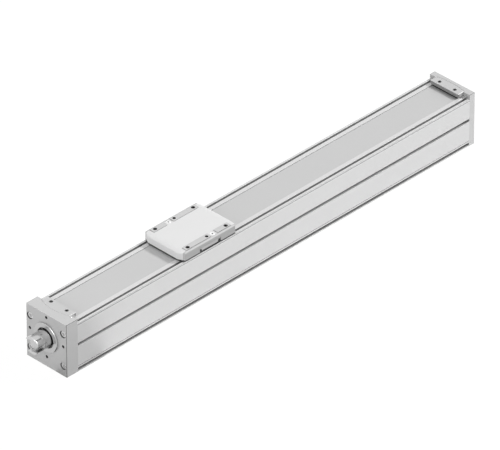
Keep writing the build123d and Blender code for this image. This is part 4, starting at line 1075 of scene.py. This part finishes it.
@dataclass
class CoverStrip(Assembly):
    """The steel strip: one half towards each cap, meeting over the slide's neck.

    Attributes:
        near_nose: How far before the far clamp's nose the strip carries painted shadow.
        near_nose_shadow_tone: That painted shadow, as a tone.
        under_nose_shadow_tone: Painted shade under the nose, as a tone times the one before it.
        lift_reach: How far from the neck's middle the strip would be wholly the slide's; not used.
        blend_inset: How far inside its two ends a change of body would start and stop; not used.
        flat_beyond: How far from the frame's middle the strip certainly lies flat.
    """

    near_nose: float = 0.004
    near_nose_shadow_tone: float = 0.7
    under_nose_shadow_tone: float = 0.3
    lift_reach: float = 0.050
    blend_inset: float = 0.001
    flat_beyond: float = 0.36

    def build(self) -> None:
        """Draw both halves from the strip's line, split at the slide's middle, and hide the strip's CAD node.
        """
        xs, tops = self.line()
        low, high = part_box("cover_strip")
        middle = sum(v[0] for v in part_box("slide_plate")) / 2
        thickness = self.thickness()
        for name, side in (("strip_drive_half", -1), ("strip_far_half", 1)):
            keep = xs <= middle + HAIR if side < 0 else xs >= middle - HAIR
            own_x = np.append(xs[keep], middle) if side < 0 else np.append(middle, xs[keep])
            own_z = np.interp(own_x, xs, tops)
            half = self.half(name, own_x, own_z, thickness, low[1], high[1])
            self.add(half, self.finish(side))
            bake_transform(half)
            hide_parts("cover_strip")

    def finish(self, side: int) -> Finish:
        """Give the far half painted shadow at its end, under the clamp's nose and close to it.

        Args:
            side: 1 for the far half and -1 for the drive half.

        Returns:
            The finish.
        """
        if side < 0:
            return STRIP_STEEL
        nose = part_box("far_strip_clamp")[0][0]
        # Painted shadow close to the far clamp's nose, deeper under it
        zones = tuple(
            Zone(tone, ((Side.TOWARDS_FAR_END, nose - before),))
            for tone, before in ((self.near_nose_shadow_tone, self.near_nose), (self.under_nose_shadow_tone, 0.0))
        )
        return replace(STRIP_STEEL, name="strip_far_steel_painted_shadow", slot="strip_steel", zones=zones)

    def line(self) -> tuple[np.ndarray, np.ndarray]:
        """Read the strip's upper line from its CAD node.

        Returns:
            Places on X in order, and the top's height at each.
        """
        points = self.points("cover_strip")
        edge = points[points[:, 1] < points[:, 1].min() + HAIR]
        key = np.round(edge[:, 0] * TEN_MICRONS).astype(int)
        xs = np.unique(key)
        tops = np.array([edge[key == value, 2].max() for value in xs])
        low = np.array([edge[key == value, 2].min() for value in xs])
        places = xs / TEN_MICRONS
        keep = (tops - low > 1 / TEN_MICRONS) | (np.abs(places) > self.flat_beyond)
        return places[keep], tops[keep]

    def thickness(self) -> float:
        """Read the strip's thickness at its drive end.

        Returns:
            The thickness, in metres.
        """
        points = self.points("cover_strip")
        end = points[points[:, 0] < points[:, 0].min() + HAIR]
        return float(end[:, 2].max() - end[:, 2].min())

    @staticmethod
    def half(
        name: str, xs: np.ndarray, tops: np.ndarray, thickness: float, near: float, far: float,
    ) -> bpy.types.Object:
        """Sweep the strip's thin section along its line.

        Each place on the line carries four corners: two at the top's height and two lower by the
        thickness, at the strip's two sides.

        Args:
            name: The object's name.
            xs: Places on X.
            tops: Heights of the top.
            thickness: The strip's thickness.
            near: The near side's Y.
            far: The far side's Y.

        Returns:
            The new object.
        """
        rows = [
            [(x, near, z - thickness), (x, far, z - thickness), (x, far, z), (x, near, z)]
            for x, z in zip(xs, tops)
        ]
        points = np.array(rows).reshape(-1, 3)
        faces = grid_faces(len(xs), 4)[:, ::-1].tolist()
        last = 4 * (len(xs) - 1)
        faces += [[0, 3, 2, 1], [last, last + 1, last + 2, last + 3]]
        return build_mesh(name, points, np.array(faces), smooth=False)


def seen_rays(tree: bpy.types.NodeTree) -> bpy.types.NodeSocket:
    """Tell rays that the camera or a shiny or clear surface sends from those that carry light.

    Args:
        tree: The nodes of the floor's material or the world.

    Returns:
        A socket that is 1 for camera, glossy and transmission rays.
    """
    rays = add_node(tree, "LightPath")
    seen = rays.outputs["Is Camera Ray"]
    for kind in ("Is Glossy Ray", "Is Transmission Ray"):
        either = add_node(tree, "Math")
        either.operation = "MAXIMUM"
        tree.links.new(seen, either.inputs[0])
        tree.links.new(rays.outputs[kind], either.inputs[1])
        seen = either.outputs["Value"]
    return seen


@dataclass(frozen=True)
class Softbox:
    """One square area light that faces the object's middle.

    Attributes:
        name: The light's name.
        place: Where it stands.
        size: The square's side.
        watts: Its power.
    """

    name: str
    place: tuple[float, float, float]
    size: float
    watts: float


SOFTBOXES = (
    Softbox("key", (5.0, -3.2, 5.0), 1.2, 435.0),
    Softbox("overhead", (-1.3, 0.2, 2.4), 2.6, 5.0),
    Softbox("behind", (-0.3, 1.7, 2.3), 0.7, 9.0),
    Softbox("front", (1.4, -3.2, 1.0), 2.6, 3.0),
    Softbox("drive_end", (-3.0, -0.6, 1.2), 1.6, 32.0),
)


@dataclass
class Studio:
    """Floor, lights, camera and background.

    Attributes:
        floor_reach: How far the floor goes each way.
        floor_drop: How far it lies below the object's foot.
        floor_tone: Its tone for light that falls on it.
        paper_glow: Its own brightness to the camera, where 1 is white.
        paper_tone: Its tone to the camera beside that, which carries the shadow.
        card: Corners of the dark card, in order round it.
        card_tone: The card's tone.
        card_roughness: Its roughness.
        soft_level: Strength of the surround as a light.
        white_level: Its strength to the camera, where 1 is white.
        clip_end: How far the camera sees.
    """

    floor_reach: float = 30.0
    floor_drop: float = 0.0004
    floor_tone: float = 0.80
    paper_glow: float = 0.93
    paper_tone: float = 0.12
    card: tuple[tuple[float, float], ...] = ((-0.47, 0.0), (-0.22, -0.45), (-0.05, -0.45), (-0.34, -0.04))
    card_tone: float = 0.03
    card_roughness: float = 0.9
    soft_level: float = 0.28
    white_level: float = 1.0
    clip_end: float = 60.0

    def build(self) -> None:
        """Place everything that is not part of the object."""
        self.floor()
        self.flag()
        self.world()
        self.lights()
        self.camera()
        scene = bpy.context.scene
        scene.view_settings.view_transform = "Standard"
        scene.view_settings.look = "None"

    @staticmethod
    def sheet(name: str, corners: list[tuple[float, float]], height: float) -> bpy.types.Object:
        """Lay a flat four-cornered sheet that is no part of the object.

        Args:
            name: Its name.
            corners: Its corners on X and Y, in order round it.
            height: Its height.

        Returns:
            The sheet.
        """
        points = np.column_stack([corners, np.full(4, height)])
        sheet = build_mesh(name, points, np.array([[0, 1, 2, 3]]), smooth=False)
        sheet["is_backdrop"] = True
        return sheet

    def floor(self) -> None:
        """Lay a wide pale floor: nearly white paper to the camera, with a faint shadow under the object."""
        reach = self.floor_reach
        corners = [(-reach, -reach), (reach, -reach), (reach, reach), (-reach, reach)]
        material = bpy.data.materials.new("paper")
        material.use_nodes = True
        tree = material.node_tree
        tree.nodes.clear()
        link = tree.links.new
        output = add_node(tree, "OutputMaterial")
        mix = add_node(tree, "MixShader")
        matt = add_node(tree, "BsdfDiffuse", Color=(*grey(self.floor_tone), 1.0))
        glow = add_node(tree, "Emission", Color=WHITE, Strength=self.paper_glow)
        lit = add_node(tree, "BsdfDiffuse", Color=(*grey(self.paper_tone), 1.0))
        paper = add_node(tree, "AddShader")
        link(glow.outputs["Emission"], paper.inputs[0])
        link(lit.outputs["BSDF"], paper.inputs[1])
        link(seen_rays(tree), mix.inputs["Fac"])
        link(matt.outputs["BSDF"], mix.inputs[1])
        link(paper.outputs["Shader"], mix.inputs[2])
        link(mix.outputs["Shader"], output.inputs["Surface"])
        self.sheet("floor", corners, -self.floor_drop).data.materials.append(material)

    def flag(self) -> None:
        """Lay a dark card that only shiny surfaces see, as photographers use beside metal."""
        material = bpy.data.materials.new("flag_card")
        material.use_nodes = True
        shader = material.node_tree.nodes["Principled BSDF"]
        shader.inputs["Base Color"].default_value = (*grey(self.card_tone), 1.0)
        shader.inputs["Roughness"].default_value = self.card_roughness
        card = self.sheet("flag", list(self.card), 0.0)
        card.data.materials.append(material)
        card.visible_camera = False
        card.visible_diffuse = False
        card.visible_shadow = False

    def world(self) -> None:
        """Make an even soft surround, white where the camera sees it."""
        world = bpy.data.worlds.new("surround")
        bpy.context.scene.world = world
        world.use_nodes = True
        tree = world.node_tree
        tree.nodes.clear()
        output = add_node(tree, "OutputWorld")
        mix = add_node(tree, "MixShader")
        tree.links.new(seen_rays(tree), mix.inputs["Fac"])
        for socket, strength in ((1, self.soft_level), (2, self.white_level)):
            background = add_node(tree, "Background", Color=WHITE, Strength=strength)
            tree.links.new(background.outputs["Background"], mix.inputs[socket])
        tree.links.new(mix.outputs["Shader"], output.inputs["Surface"])

    @staticmethod
    def lights() -> None:
        """Place the softboxes: a key above the far end and the visible side, and weaker ones around."""
        for box in SOFTBOXES:
            light = bpy.data.lights.new(box.name, "AREA")
            light.shape = "SQUARE"
            light.size = box.size
            light.energy = box.watts
            obj = bpy.data.objects.new(box.name, light)
            bpy.context.scene.collection.objects.link(obj)
            aim = Vector(CAMERA_TARGET) - Vector(box.place)
            obj.location = box.place
            obj.rotation_euler = aim.to_track_quat("-Z", "Y").to_euler()
            LOG.info("light %s at %s", box.name, box.place)

    def camera(self) -> None:
        """Place the camera that was fitted to the photograph."""
        turn, rise = math.radians(CAMERA_TURN), math.radians(CAMERA_RISE)
        back = Vector((math.sin(turn) * math.cos(rise), -math.cos(turn) * math.cos(rise), math.sin(rise)))
        right = Vector((math.cos(turn), math.sin(turn), 0.0))
        up = back.cross(right)
        place = Vector(CAMERA_TARGET) - right * CAMERA_SHIFT_RIGHT - up * CAMERA_SHIFT_UP
        place += back * CAMERA_DISTANCE
        camera = bpy.data.cameras.new("photo_camera")
        camera.lens = CAMERA_LENS
        camera.sensor_width = SENSOR_WIDTH
        camera.clip_end = self.clip_end
        obj = bpy.data.objects.new("photo_camera", camera)
        bpy.context.scene.collection.objects.link(obj)
        axes = Matrix((right, up, back)).transposed()
        obj.matrix_world = Matrix.Translation(place) @ axes.to_4x4()
        bpy.context.scene.camera = obj


def main() -> None:
    """Load the frame, dress it, add the detail pieces and note the sizes."""
    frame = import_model()
    sizes: dict[str, list[list[float]]] = {}
    write_box("loaded", sizes)
    shop = MaterialShop()
    for part in (Housing, Slide, Spindle, CoverStrip):
        part(frame, shop).build()
    Studio().build()
    write_box("finished", sizes)


if __name__ == "__main__":
    main()
